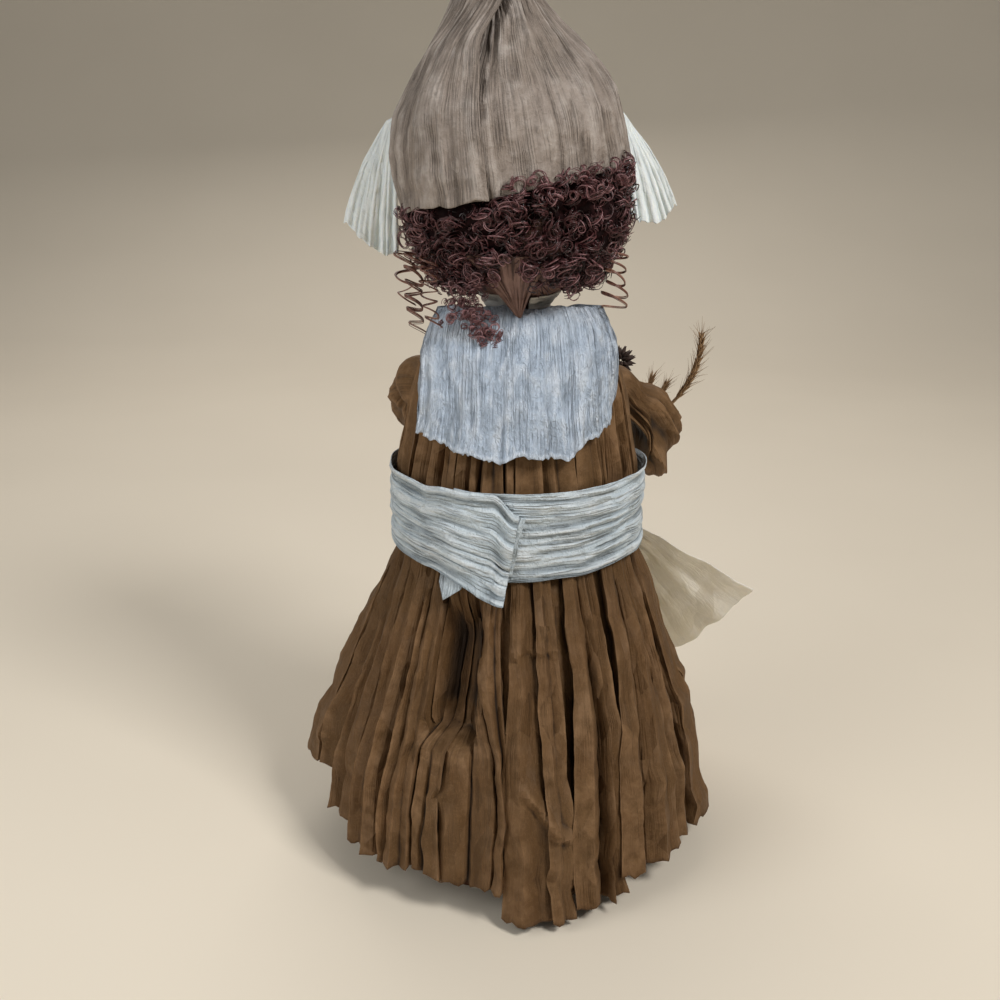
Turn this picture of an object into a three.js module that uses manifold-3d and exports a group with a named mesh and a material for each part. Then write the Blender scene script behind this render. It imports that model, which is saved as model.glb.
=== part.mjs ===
import * as THREE from "three";
import { mergeVertices } from "three/addons/utils/BufferGeometryUtils.js";
import Module from "manifold-3d";

// A crepe paper doll on a foam cone: paper clothes over foam, wire and a dowel.
// Millimetres. Z is up, the doll faces -Y and its own left hand is on +X.
// The origin is the centre of the cone's flat underside.

const wasm = await Module();
wasm.setup();

const { clamp, degToRad, euclideanModulo, lerp, radToDeg, smoothstep } = THREE.MathUtils;
const vec = (x, y, z) => new THREE.Vector3(x, y, z);

// Fit between neighbours, and paper as modelled: crinkled sheet takes more room than its own thickness
const GAP = 0.4;
const PAPER = 1.2;

// Foam cone, cut off flat at the shoulders
const CONE_BASE_R = 57;
const CONE_CUT_Z = 200;
const CONE_CUT_OFF = 65;
const CONE_POINT_Z = CONE_CUT_Z + CONE_CUT_OFF;

// Head, a foam ball on a wooden dowel, above the padding on the cone
const HEAD_R = 38;
const PADDING = 20;
const NECK_Z = CONE_CUT_Z + PADDING;
const NECK_R = 8.4;
const CHIN_RISE = 7;
const HEAD_Z = NECK_Z + CHIN_RISE + HEAD_R;
const SKIN = 0.9;
const NECK_FOLDS = 8;
const NECK_FOLD = 0.8;
const SKIN_R = HEAD_R + GAP + SKIN;
const DOWEL_R = 4;
const DOWEL_IN_CONE = 75;
const DOWEL_IN_HEAD = 34;

// Waist and the layers tied round it, each outside the one before
const WAIST_X = 46;
const WAIST_Y = 41;
const STRING_R = 0.55;
const SASH_BELOW_CUT = 38;
const SASH_WIDE = 35;
const SASH_OVER_SKIRT = 18;
const SASH_HIGH_Z = CONE_CUT_Z - SASH_BELOW_CUT;
const SASH_LOW_Z = SASH_HIGH_Z - SASH_WIDE;
const SKIRT_TOP_Z = SASH_LOW_Z + SASH_OVER_SKIRT;
const APRON_OFFSET = 1.7;
const SASH_OFFSET = APRON_OFFSET + PAPER + GAP;

// Sash: one turn and a lap, with its outer end sagging at the back
const SASH_END = degToRad(88);
const SASH_LAP = degToRad(28);
const SASH_SAG = 9;
const SASH_CORNER = degToRad(17);
const SASH_TAIL = degToRad(40);

// Skirt: gathered folds that deepen towards a ragged hem
const SKIRT_HEM_R = 79;
const SKIRT_FOLDS = 32;
const FOLD_TOP = 1.2;
const FOLD_HEM = 9;
// Panels that stand out from the rest: middle angle, half width in degrees, and how far at the floor
const FLARES = [
  { at: -6, half: 18, out: 18 },
  { at: 97, half: 11, out: 5 },
];
// Hem height from each angle on, turning from the doll's left by way of its back
const HEM_STEPS = [
  [-22, 25],
  [9, 10],
  [20, 4],
  [36, 13],
  [58, 11],
  [91, 3],
  [104, 8],
  [150, 6],
  [200, 4],
];
const UNDERSKIRT_LOW_Z = 0.8;
const UNDERSKIRT_HIGH_Z = SASH_LOW_Z - 9;

// Apron: a sheet over the front, its right corner lifted well clear of the skirt
const APRON_LEFT = degToRad(-38);
const APRON_RIGHT = degToRad(-156);
const APRON_HEM_Z = 28;
const APRON_CORNER_Z = 81;
const APRON_CORNER_FLARE = 50;
const APRON_WAVES = 6;
const APRON_WAVE = 1.8;

// Bodice outline: height, half width, half depth, how far its centre sits behind the cone's axis
const BODICE = [
  [SKIRT_TOP_Z + GAP, WAIST_X, WAIST_Y, 0],
  [SASH_HIGH_Z, WAIST_X, WAIST_Y - 1, 0.5],
  [NECK_Z - 44, 43, 33.5, 4],
  [NECK_Z - 30, 41, 28, 7],
  [NECK_Z - 18, 37.5, 23.5, 7],
  [NECK_Z - 10, 34, 20, 5],
  [NECK_Z - 4, 29, 16.5, 3],
  [NECK_Z, 20, 13, 1],
];
const BODICE_FOLDS = 24;
const BODICE_FOLD = 1;

// Collar: a sheet with a hole for the neck; its edge hangs this far below the neck at each angle
const COLLAR_HOLE_R = 10.6;
const COLLAR_OFF = 2;
const COLLAR_FLARE = 1.5;
const COLLAR_HANGS = [
  [-90, 38],
  [-56, 37],
  [-44, 17],
  [0, 15],
  [20, 17],
  [33, 39],
  [60, 43],
  [90, 45],
  [125, 43],
  [146, 37],
  [159, 17],
  [180, 15],
  [224, 17],
  [236, 37],
  [270, 38],
];

// Arms: the shoulder on the doll's left, then each elbow and hand as a step from the joint before
const SHOULDER_OUT = 38;
const SHOULDER_FORWARD = 10;
const SHOULDER_DROP = 8;
const SHOULDER = vec(SHOULDER_OUT, -SHOULDER_FORWARD, CONE_CUT_Z - SHOULDER_DROP);
const SHOULDER_R = 9.5;
const WIRE_R = 1.2;
const ELBOW_R = 10;
const ELBOW_FLEX = degToRad(15);
const ELBOW_SPARE = 2;
const ARM_BACK = degToRad(5);
const WRIST_R = 4.6;
const SLEEVE_PUFF = 12;
const HAND_R = 5.4;
const HAND_LONG = 8;
const ARMS = [
  { side: "left", turn: 1, elbow: vec(7, -36, -20), hand: vec(-18, -26, -12) },
  { side: "right", turn: -1, elbow: vec(-21, -22, -30), hand: vec(12, -34, -12) },
];

// Sheaf: stalks side by side in the right hand, fanning out above it
const STALK_R = 0.8;
const BUNDLE_R = 2.2;
const STALK_BELOW_HAND = 20;
const SHEAF_UP = vec(-0.37, 0.37, 0.86);
// Each stalk's place round the middle one, in degrees, and its tip: up, to the side and across
const SPIKES = [
  { ring: 72, tip: [31, 9, 4] },
  { ring: -72, tip: [33, 5, -5] },
  { tip: [34, 0, -1] },
];
const EAR = { ring: 180, tip: [33, -6, 2] };
const FLOWER = { ring: 0, tip: [42, 25, 3] };
const EAR_LONG = 36;
const EAR_BOW = 12;
const EAR_R = 2.4;
const AWNS = 14;
const AWN_LONG = 9;
const AWN_R = 0.4;
const AWN_LEAN = 0.6;
const SPIKE_LONG = 12;
const SPIKE_R = 1.7;
const FLOWER_R = 4.6;
const PETALS = 6;
const GOLDEN_ANGLE = degToRad(137.5);

// Wig and ringlets
const WIG_FROM = degToRad(-16);
const WIG_TO = degToRad(196);
const WIG_LOW = degToRad(-48);
const WIG_HIGH = degToRad(12);
const WIG_THIN = 2;
const WIG_BULGE = 4.5;
const WIG_CURLS = 17;
const RINGLET_R = 3.4;
const HAIR_R = 0.6;
const RINGLET_PITCH = 4.4;
const RINGLET_TOP = degToRad(-30);
// Azimuth of each ringlet and its number of turns
const RINGLETS = [
  { name: "left_back", at: 36, turns: 5 },
  { name: "left_side", at: 18, turns: 6 },
  { name: "left_front", at: 5, turns: 4 },
  { name: "right_side", at: 166, turns: 4 },
];

// Cap: a rolled cone with an onion-shaped belly, leaning to the doll's left
const CAP_TILT = degToRad(8);
const CAP_IN_R = SKIN_R + GAP + WIG_THIN + GAP;
const CAP_LAP = degToRad(26);
const CAP_END = degToRad(84);
const CAP_RIM = 3;
const CAP_RIM_SLANT = 3;
const CAP_RIM_FRONT = 17;
// Height above the head's centre and outer radius
const CAP_PROFILE = [
  [-6, CAP_IN_R + PAPER],
  [14, CAP_IN_R + PAPER + 0.8],
  [24, CAP_IN_R + PAPER],
  [34, 40],
  [44, 33],
  [54, 24.6],
  [66, 15.2],
  [78, 8.6],
  [97, 3],
];

// Bonnet band: a strip over the front of the cap, its ends fanned out beside the head
const BAND_SPAN = { left: degToRad(102), right: degToRad(97) };
const BAND_REAR_HANGS = { left: degToRad(14), right: 0 };
const BAND_REAR_LEAN = { top: degToRad(42), end: degToRad(9) };
const BAND_FRONT_LEAN = { top: degToRad(58), end: degToRad(20) };
const BAND_FAN_FROM = degToRad(52);
const BAND_FLARE_TOP = 5;
const BAND_FLARE_END = 24;
const BAND_WAVE = 1.6;

/** Merged, index-only geometry without slivers at the poles. */
function bare(geometry) {
  const plain = geometry.clone();
  plain.deleteAttribute("normal");
  plain.deleteAttribute("uv");
  const merged = mergeVertices(plain, 1e-4);
  const kept = [];
  const index = merged.index.array;
  for (let i = 0; i < index.length; i += 3) {
    const [a, b, c] = index.slice(i, i + 3);
    if (a !== b && b !== c && c !== a) {
      kept.push(a, b, c);
    }
  }
  merged.setIndex(kept);
  return merged;
}

/** An indexed geometry with its faces turned to point out. */
function facingOut(geometry) {
  const corner = (i) => vec().fromBufferAttribute(geometry.attributes.position, geometry.index.array[i]);
  let volume = 0;
  for (let i = 0; i < geometry.index.count; i += 3) {
    volume += corner(i).dot(corner(i + 1).cross(corner(i + 2)));
  }
  if (volume < 0) {
    geometry.setIndex(Array.from(geometry.index.array).reverse());
  }
  return geometry;
}

/** Closed geometry from points and triangles. */
function closed(points, triangles) {
  return facingOut(new THREE.BufferGeometry().setFromPoints(points).setIndex(triangles));
}

/** A sheet between two surfaces of u and v, closed at its edges, or round on itself where ring is true. */
function sheet({ outer, inner, columns, rows, ring = false }) {
  const wide = ring ? columns : columns + 1;
  const points = [];
  const triangles = [];
  const layer = (surface) => {
    const start = points.length;
    for (let row = 0; row <= rows; row += 1) {
      for (let column = 0; column < wide; column += 1) {
        points.push(surface(column / columns, row / rows));
      }
    }
    return (column, row) => start + row * wide + (column % wide);
  };
  const quad = (a, b, c, d) => triangles.push(a, b, c, a, c, d);
  const front = layer(outer);
  const back = layer(inner);
  for (let c = 0; c < columns; c += 1) {
    for (let r = 0; r < rows; r += 1) {
      quad(front(c, r), front(c + 1, r), front(c + 1, r + 1), front(c, r + 1));
      quad(back(c, r), back(c, r + 1), back(c + 1, r + 1), back(c + 1, r));
    }
    quad(front(c, 0), back(c, 0), back(c + 1, 0), front(c + 1, 0));
    quad(front(c, rows), front(c + 1, rows), back(c + 1, rows), back(c, rows));
  }
  for (let r = 0; r < rows && !ring; r += 1) {
    quad(front(0, r), front(0, r + 1), back(0, r + 1), back(0, r));
    quad(front(columns, r), back(columns, r), back(columns, r + 1), front(columns, r + 1));
  }
  return closed(points, triangles);
}

/** A solid through rings of points, closed by a fan at each end. */
function loft(rings) {
  const count = rings[0].length;
  const points = rings.flat();
  const triangles = [];
  for (let i = 0; i < rings.length - 1; i += 1) {
    for (let k = 0; k < count; k += 1) {
      const a = i * count + k;
      const b = i * count + ((k + 1) % count);
      triangles.push(a, b, b + count, a, b + count, a + count);
    }
  }
  const top = (rings.length - 1) * count;
  for (let k = 1; k < count - 1; k += 1) {
    triangles.push(0, k + 1, k, top, top + k, top + k + 1);
  }
  return closed(points, triangles);
}

/** A body turned about Z from radius and height pairs. */
function turned(profile, segments) {
  const points = profile.map(([radius, height]) => new THREE.Vector2(radius, height));
  return facingOut(new THREE.LatheGeometry(points, segments).rotateX(Math.PI / 2));
}

/** A round tube along a curve. */
function tube(path, radius, sides, steps) {
  const section = new THREE.Shape();
  for (let k = 0; k < sides; k += 1) {
    const angle = (2 * Math.PI * k) / sides;
    const draw = k === 0 ? "moveTo" : "lineTo";
    section[draw](radius * Math.cos(angle), radius * Math.sin(angle));
  }
  return new THREE.ExtrudeGeometry(section, { steps, bevelEnabled: false, extrudePath: path });
}

const line = (from, to) => new THREE.LineCurve3(from, to);
const rod = (from, to, radius, sides = 10) => tube(line(from, to), radius, sides, 1);
const ball = (at, radius, round = 14, tall = 8) => {
  return new THREE.SphereGeometry(radius, round, tall).translate(at.x, at.y, at.z);
};

/** A geometry made along +Z, stood at a point and turned to run along a direction. */
function along(geometry, at, direction) {
  const turn = new THREE.Quaternion().setFromUnitVectors(vec(0, 0, 1), direction);
  return geometry.applyQuaternion(turn).translate(at.x, at.y, at.z);
}

/** How far a geometry reaches from a point along a direction. */
function reach(geometry, from, direction) {
  const place = geometry.attributes.position;
  const steps = Array.from({ length: place.count }, (_, i) => vec().fromBufferAttribute(place, i).sub(from));
  return Math.max(...steps.map((step) => step.dot(direction)));
}

/** The manifold solid of a closed geometry. */
function solid(geometry) {
  const plain = bare(geometry);
  const vertProperties = new Float32Array(plain.attributes.position.array);
  const triVerts = new Uint32Array(plain.index.array);
  return new wasm.Manifold(new wasm.Mesh({ numProp: 3, vertProperties, triVerts }));
}

/** First geometry joined with the others, as geometry. */
function joined(first, ...others) {
  return shape(others.reduce((whole, other) => whole.add(solid(other)), solid(first)));
}

/** First geometry with the others cut out of it, as geometry. */
function cut(first, ...others) {
  return shape(others.reduce((whole, other) => whole.subtract(solid(other)), solid(first)));
}

function shape(manifold) {
  const mesh = manifold.getMesh();
  const geometry = new THREE.BufferGeometry();
  geometry.setAttribute("position", new THREE.BufferAttribute(mesh.vertProperties, mesh.numProp));
  geometry.setIndex(new THREE.BufferAttribute(mesh.triVerts, 1));
  return geometry;
}

/** Values at a place on a list of stations, each a place followed by its values. */
function between(stations, place) {
  let i = 0;
  while (i < stations.length - 2 && place > stations[i + 1][0]) {
    i += 1;
  }
  const [low, high] = [stations[i], stations[i + 1]];
  const t = clamp((place - low[0]) / (high[0] - low[0]), 0, 1);
  return low.slice(1).map((value, k) => lerp(value, high[k + 1], t));
}

/** Folds as a wave from 0 on a crest to 1 in a valley. */
const fold = (angle, count) => 0.5 - 0.5 * Math.cos(angle * count);
const oval = (x, y, angle, z, middle = 0) => vec(x * Math.cos(angle), middle + y * Math.sin(angle), z);
const coneRadius = (z) => CONE_BASE_R * (1 - z / CONE_POINT_Z);

const looks = {
  foam: { color: 0xd8e2da, roughness: 0.9 },
  wood: { color: 0xb98c58, roughness: 0.65 },
  wire: { color: 0x8a8680, roughness: 0.4, metalness: 0.8 },
  string: { color: 0xb9a98c, roughness: 0.95 },
  brown: { color: 0x76563a, roughness: 0.8 },
  dark: { color: 0x3e2718, roughness: 0.9 },
  cap: { color: 0x8b7460, roughness: 0.75 },
  white: { color: 0xd2d8da, roughness: 0.8 },
  apron: { color: 0xdad2bd, roughness: 0.8 },
  skin: { color: 0x79584a, roughness: 0.7 },
  hair: { color: 0x5c3a38, roughness: 0.35 },
  grass: { color: 0xb49a58, roughness: 0.85 },
  flower: { color: 0x33231c, roughness: 0.9 },
};

const doll = new THREE.Group();

function piece(name, look, geometry) {
  const mesh = new THREE.Mesh(bare(geometry), new THREE.MeshStandardMaterial(looks[look]));
  mesh.name = name;
  doll.add(mesh);
}

// Core

const dowelLow = CONE_CUT_Z - DOWEL_IN_CONE;
const dowelHigh = HEAD_Z - HEAD_R + DOWEL_IN_HEAD;
const dowel = (spare) => rod(vec(0, 0, dowelLow - spare), vec(0, 0, dowelHigh + spare), DOWEL_R + spare, 20);
const shoulderWire = (spare) => {
  const reach = SHOULDER.x + spare;
  return rod(vec(-reach, SHOULDER.y, SHOULDER.z), vec(reach, SHOULDER.y, SHOULDER.z), WIRE_R + spare);
};
const cone = (spare) => {
  const top = CONE_CUT_Z + spare;
  return turned([[0, 0], [CONE_BASE_R + spare, 0], [coneRadius(CONE_CUT_Z) + spare, top], [0, top]], 48);
};

piece("foam_cone", "foam", cut(cone(0), dowel(GAP), shoulderWire(GAP)));
piece("neck_dowel", "wood", dowel(0));
piece("shoulder_wire", "wire", shoulderWire(0));

// Skirt layers

const SKIRT = [
  [0, SKIRT_HEM_R, SKIRT_HEM_R],
  [45, 0.94 * SKIRT_HEM_R, 0.94 * SKIRT_HEM_R],
  [100, lerp(WAIST_X, SKIRT_HEM_R, 0.3), lerp(WAIST_Y, SKIRT_HEM_R, 0.36)],
  [SASH_LOW_Z, WAIST_X + 0.8, WAIST_Y + 0.8],
  [SKIRT_TOP_Z, WAIST_X, WAIST_Y],
];
const SKIRT_HEADING_Z = SASH_LOW_Z + 5;

/** Height of the ragged hem at an angle from the doll's left. */
function hemAt(angle) {
  const turn = euclideanModulo(radToDeg(angle) - HEM_STEPS[0][0], 360);
  const step = HEM_STEPS.findLast(([from]) => turn >= from - HEM_STEPS[0][0]);
  return step[1];
}

/** How far the lifted panels stand out at an angle and height. */
function flareAt(angle, z) {
  const down = clamp((SASH_LOW_Z - z) / SASH_LOW_Z, 0, 1) ** 0.8;
  return FLARES.reduce((most, { at, half, out }) => {
    const turn = euclideanModulo(radToDeg(angle) - at + 180, 360) - 180;
    return Math.max(most, out * down * Math.max(0, 1 - (turn / half) ** 2));
  }, 0);
}

function skirt() {
  const rows = 5;
  const columns = 2 * SKIRT_FOLDS;
  const heights = (angle, v) => {
    const stations = [0, 0.33, 0.66, 1].map((t) => lerp(hemAt(angle), SASH_LOW_Z, t));
    return [...stations, SKIRT_HEADING_Z, SKIRT_TOP_Z][Math.round(v * rows)];
  };
  const place = (u, v, depth) => {
    const angle = 2 * Math.PI * u;
    const z = heights(angle, v);
    const [x, y] = between(SKIRT, z);
    const deep = lerp(FOLD_HEM, FOLD_TOP, clamp(z / SASH_LOW_Z, 0, 1)) * fold(angle, SKIRT_FOLDS);
    const out = flareAt(angle, z) - deep - depth;
    return oval(x + out, y + out, angle, z);
  };
  const inside = (u, v) => {
    const angle = 2 * Math.PI * u;
    const z = heights(angle, v);
    const core = coneRadius(z) + GAP;
    return z > SASH_LOW_Z ? oval(core, core, angle, z) : place(u, v, PAPER);
  };
  return sheet({ outer: (u, v) => place(u, v, 0), inner: inside, columns, rows, ring: true });
}

function underskirt() {
  const place = (u, v, out) => {
    const z = lerp(UNDERSKIRT_LOW_Z, UNDERSKIRT_HIGH_Z, v);
    const radius = coneRadius(z) + out;
    return oval(radius, radius, 2 * Math.PI * u, z);
  };
  const outer = (u, v) => place(u, v, GAP + PAPER);
  const inner = (u, v) => place(u, v, GAP);
  return sheet({ outer, inner, columns: 48, rows: 1, ring: true });
}

piece("underskirt", "dark", underskirt());
piece("skirt", "brown", skirt());

// Bodice, collar and waist layers

function bodice() {
  const columns = 2 * BODICE_FOLDS;
  const rings = BODICE.map(([z, x, y, middle], row) => {
    const deep = row === BODICE.length - 1 ? 0 : BODICE_FOLD;
    return Array.from({ length: columns }, (_, k) => {
      const angle = (2 * Math.PI * k) / columns;
      const valley = deep * fold(angle, BODICE_FOLDS);
      return oval(x - valley, y - valley, angle, z, middle);
    });
  });
  const armholes = ARMS.flatMap((arm) => [0, ARM_BACK].map((swing) => armhole(arm, swing)));
  return cut(loft(rings), cone(GAP), dowel(GAP), shoulderWire(GAP), ...armholes);
}

const shoulderOf = (turn) => vec(turn * SHOULDER.x, SHOULDER.y, SHOULDER.z);

/** An upper sleeve from its round shoulder to its round elbow, with some spare all over. */
function upperSleeve({ turn, elbow }, spare, sides) {
  const shoulder = shoulderOf(turn);
  const long = elbow.length();
  const puff = turned([
    [0, 0],
    [0.85 * SHOULDER_R + spare, 0],
    [0.95 * SLEEVE_PUFF + spare, 0.45 * long],
    [0.95 * ELBOW_R + spare, long],
    [0, long],
  ], sides);
  const ends = [[shoulder, SHOULDER_R], [shoulder.clone().add(elbow), ELBOW_R]];
  const round = ends.map(([at, radius]) => ball(at, radius + spare, sides, 0.6 * sides));
  return joined(along(puff, shoulder, elbow.clone().normalize()), ...round);
}

/** The room that an upper sleeve takes when its arm swings back by an angle. */
function armhole(arm, swing) {
  const { x, y, z } = shoulderOf(arm.turn);
  return upperSleeve(arm, 3 * GAP, 10).translate(-x, -y, -z).rotateX(swing).translate(x, y, z);
}

function collar() {
  const columns = 44;
  const rows = 5;
  const top = NECK_Z + GAP;
  const place = (u, v, out) => {
    const degrees = -90 + 360 * u;
    const angle = degToRad(degrees);
    const [hangs] = between(COLLAR_HANGS, degrees);
    const down = Math.max(0, (v * rows - 1) / (rows - 1)) ** 1.5;
    const z = lerp(top + out, NECK_Z - hangs, down);
    const [x, y, middle] = between(BODICE, z);
    const off = COLLAR_OFF + out + COLLAR_FLARE * down;
    const hole = oval(COLLAR_HOLE_R, COLLAR_HOLE_R, angle, top + out);
    return v === 0 ? hole : oval(x + off, y + off, angle, z, middle);
  };
  const outer = (u, v) => place(u, v, PAPER);
  const inner = (u, v) => place(u, v, 0);
  return sheet({ outer, inner, columns, rows, ring: true });
}

function waistString() {
  const x = WAIST_X + GAP + STRING_R;
  const stretch = (WAIST_Y + GAP + STRING_R) / x;
  const ring = new THREE.TorusGeometry(x, STRING_R, 4, 40);
  return ring.scale(1, stretch, 1).translate(0, 0, SKIRT_TOP_Z - 2);
}

/** Half width and half depth inside the sash at a height, kept outside the flaring skirt. */
function insideSash(z) {
  const [x, y] = between(SKIRT, z);
  return [Math.max(WAIST_X + SASH_OFFSET, x + GAP), Math.max(WAIST_Y + SASH_OFFSET, y + GAP)];
}

function sash() {
  const full = 2 * Math.PI + SASH_LAP;
  const place = (u, v, out) => {
    const turn = full * u;
    const sagHigh = SASH_SAG * (1 - smoothstep(turn, 0, SASH_CORNER));
    const sagLow = SASH_SAG * (1 - smoothstep(turn, 0.7 * SASH_TAIL, SASH_TAIL));
    const lift = (PAPER + GAP) * (1 - smoothstep(turn, SASH_LAP, 2 * SASH_LAP));
    const z = lerp(SASH_LOW_Z - sagLow, SASH_HIGH_Z - sagHigh, v);
    const [x, y] = insideSash(z);
    return oval(x + lift + out, y + lift + out, SASH_END - turn, z);
  };
  const outer = (u, v) => place(u, v, PAPER);
  const inner = (u, v) => place(u, v, 0);
  return sheet({ outer, inner, columns: 46, rows: 3 });
}

function apron() {
  const columns = 4 * APRON_WAVES;
  const rows = 6;
  const heading = 1 / rows;
  const place = (u, v, out) => {
    const angle = lerp(APRON_LEFT, APRON_RIGHT, u);
    const lifted = Math.max(0, (u - 0.55) / 0.45);
    const hem = lerp(APRON_HEM_Z, APRON_CORNER_Z, lifted ** 3);
    const down = Math.max(0, (v - heading) / (1 - heading));
    const z = v <= heading ? lerp(SKIRT_TOP_Z - 5, SASH_LOW_Z, v / heading) : lerp(SASH_LOW_Z, hem, down);
    const [x, y] = v <= heading ? [WAIST_X + APRON_OFFSET, WAIST_Y + APRON_OFFSET] : between(SKIRT, z);
    const wave = APRON_WAVE * (1 + Math.cos(2 * Math.PI * APRON_WAVES * u));
    const bulge = 3 * Math.sin(Math.PI * down);
    const loose = down > 0 ? APRON_OFFSET + down * (2 + wave) + bulge : 0;
    const off = out + loose + APRON_CORNER_FLARE * lifted ** 1.5 * down ** 1.2;
    return oval(x + off, y + off, angle, z);
  };
  const outer = (u, v) => place(u, v, PAPER);
  const inner = (u, v) => place(u, v, 0);
  return sheet({ outer, inner, columns, rows });
}

function neckBand() {
  const inside = NECK_R + 2 * STRING_R + 3 * GAP;
  const wide = inside + PAPER;
  const low = NECK_Z + 2 * GAP + PAPER;
  const high = HEAD_Z - Math.sqrt(SKIN_R ** 2 - inside ** 2) - GAP;
  const place = (u, v, radius) => oval(radius, radius, degToRad(lerp(102, 438, u)), lerp(low, high, v));
  const outer = (u, v) => place(u, v, wide);
  const inner = (u, v) => place(u, v, inside);
  return sheet({ outer, inner, columns: 28, rows: 1 });
}

piece("bodice", "brown", bodice());
piece("waist_string", "string", waistString());
piece("apron", "apron", apron());
piece("sash", "white", sash());
piece("collar", "white", collar());
piece("neck_band", "white", neckBand());

// Arms

function arm(plan) {
  const { side, turn, elbow, hand } = plan;
  const shoulder = shoulderOf(turn);
  const elbowAt = shoulder.clone().add(elbow);
  const handAt = elbowAt.clone().add(hand);
  const upper = elbow.clone().normalize();
  const fore = hand.clone().normalize();
  const foreLong = hand.length();
  const bent = Math.PI - upper.angleTo(fore) - ELBOW_FLEX;
  const clear = ELBOW_R / Math.sin(bent / 2) + ELBOW_SPARE;

  const upperBore = rod(shoulder, elbowAt.clone().addScaledVector(upper, GAP), WIRE_R + GAP);
  const upperWire = rod(shoulder.clone().addScaledVector(upper, 3 * WIRE_R), elbowAt, WIRE_R);
  const wireTip = handAt.clone().addScaledVector(fore, HAND_R);
  const foreWire = (spare) => {
    const from = elbowAt.clone().addScaledVector(fore, ELBOW_R + GAP - spare);
    return rod(from, wireTip.clone().addScaledVector(fore, spare), WIRE_R + spare);
  };
  const sleeveEnd = 0.93 * foreLong;
  const forePuff = turned([
    [0, 0],
    [ELBOW_R, 0],
    [SLEEVE_PUFF, 0.45 * foreLong],
    [0.85 * SLEEVE_PUFF, 0.7 * foreLong],
    [WRIST_R, 0.86 * foreLong],
    [1.35 * WRIST_R, sleeveEnd],
    [0, sleeveEnd],
  ], 16);
  const palm = ball(vec(0, 0, 0), 1).scale(HAND_R, 0.75 * HAND_R, HAND_LONG);
  const palmAt = elbowAt.clone().addScaledVector(fore, sleeveEnd + GAP + HAND_LONG);

  piece(`${side}_upper_sleeve`, "brown", cut(upperSleeve(plan, 0, 16), shoulderWire(GAP), upperBore));
  piece(`${side}_upper_wire`, "wire", upperWire);
  const foreSolid = along(forePuff, elbowAt, fore);
  piece(`${side}_fore_sleeve`, "brown", cut(foreSolid, ball(elbowAt, clear), foreWire(GAP)));
  piece(`${side}_fore_wire`, "wire", foreWire(0));
  const handSolid = cut(along(palm, palmAt, fore), foreWire(GAP));
  piece(`${side}_hand`, "skin", handSolid);
  return { palmAt, fore, handSolid };
}

const [, rightHand] = ARMS.map(arm);

// Sheaf of dried grass and one dried flower

const sheafUp = SHEAF_UP.clone().normalize();
const sheafSide = sheafUp.clone().cross(rightHand.fore).normalize();
const sheafAcross = sheafUp.clone().cross(sheafSide);
const palmReach = reach(rightHand.handSolid, rightHand.palmAt, sheafSide.clone().negate());
const sheafAt = rightHand.palmAt.clone()
  .addScaledVector(sheafSide, -(palmReach + BUNDLE_R + STALK_R + GAP));

/** A point of the sheaf: how far up from the hand, to the side and across. */
function inSheaf(up, side, across) {
  return sheafAt.clone()
    .addScaledVector(sheafUp, up)
    .addScaledVector(sheafSide, side)
    .addScaledVector(sheafAcross, across);
}

/** A stalk from below the hand, straight past it and then bending away to its tip. */
function stalkPath({ ring, tip }) {
  const angle = degToRad(ring ?? 0);
  const out = ring === undefined ? 0 : BUNDLE_R;
  const [side, across] = [out * Math.cos(angle), out * Math.sin(angle)];
  const half = inSheaf(0.5 * tip[0], lerp(side, tip[1], 0.3), lerp(across, tip[2], 0.3));
  const low = [-STALK_BELOW_HAND, 0, 8].map((up) => inSheaf(up, side, across));
  return new THREE.CatmullRomCurve3([...low, half, inSheaf(...tip)]);
}

/** A seed head that sleeves the end of its stalk and tapers to a point. */
function seedHead(long, radius) {
  return turned([
    [0, -2 * STALK_R],
    [1.3 * STALK_R, -2 * STALK_R],
    [radius, 0.2 * long],
    [radius, 0.4 * long],
    [0.8 * radius, 0.6 * long],
    [0.5 * radius, 0.8 * long],
    [0, long],
  ], 8);
}

/** A thin spike that stands off the long ear. */
function awn() {
  return new THREE.ConeGeometry(AWN_R, AWN_LONG, 5).rotateX(Math.PI / 2).translate(0, 0, AWN_LONG / 2);
}

function stalk(plan, top) {
  const path = stalkPath(plan);
  return joined(tube(path, STALK_R, 6, 12), ...top(path.getPoint(1), path.getTangent(1)));
}

/** The long ear, bowed towards the doll, with an awn at each grain. */
function longEar(at, aim) {
  const bow = (rise) => EAR_BOW * Math.max(0, rise / EAR_LONG) ** 2;
  const body = along(seedHead(EAR_LONG, EAR_R), at, aim);
  const place = body.attributes.position;
  for (let i = 0; i < place.count; i += 1) {
    const point = vec().fromBufferAttribute(place, i);
    point.addScaledVector(sheafSide, bow(point.clone().sub(at).dot(aim)));
    place.setXYZ(i, ...point);
  }
  const awns = Array.from({ length: AWNS }, (_, i) => {
    const angle = GOLDEN_ANGLE * i;
    const rise = EAR_LONG * lerp(0.12, 0.85, i / (AWNS - 1));
    const lean = sheafSide.clone().applyAxisAngle(sheafUp, angle);
    const root = at.clone().addScaledVector(aim, rise).addScaledVector(sheafSide, bow(rise));
    const up = aim.clone().addScaledVector(sheafSide, (2 * bow(rise)) / rise);
    return along(awn(), root, up.addScaledVector(lean, AWN_LEAN).normalize());
  });
  return [body, ...awns];
}

const shortSpike = (at, aim) => [along(seedHead(SPIKE_LONG, SPIKE_R), at, aim)];

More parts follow.
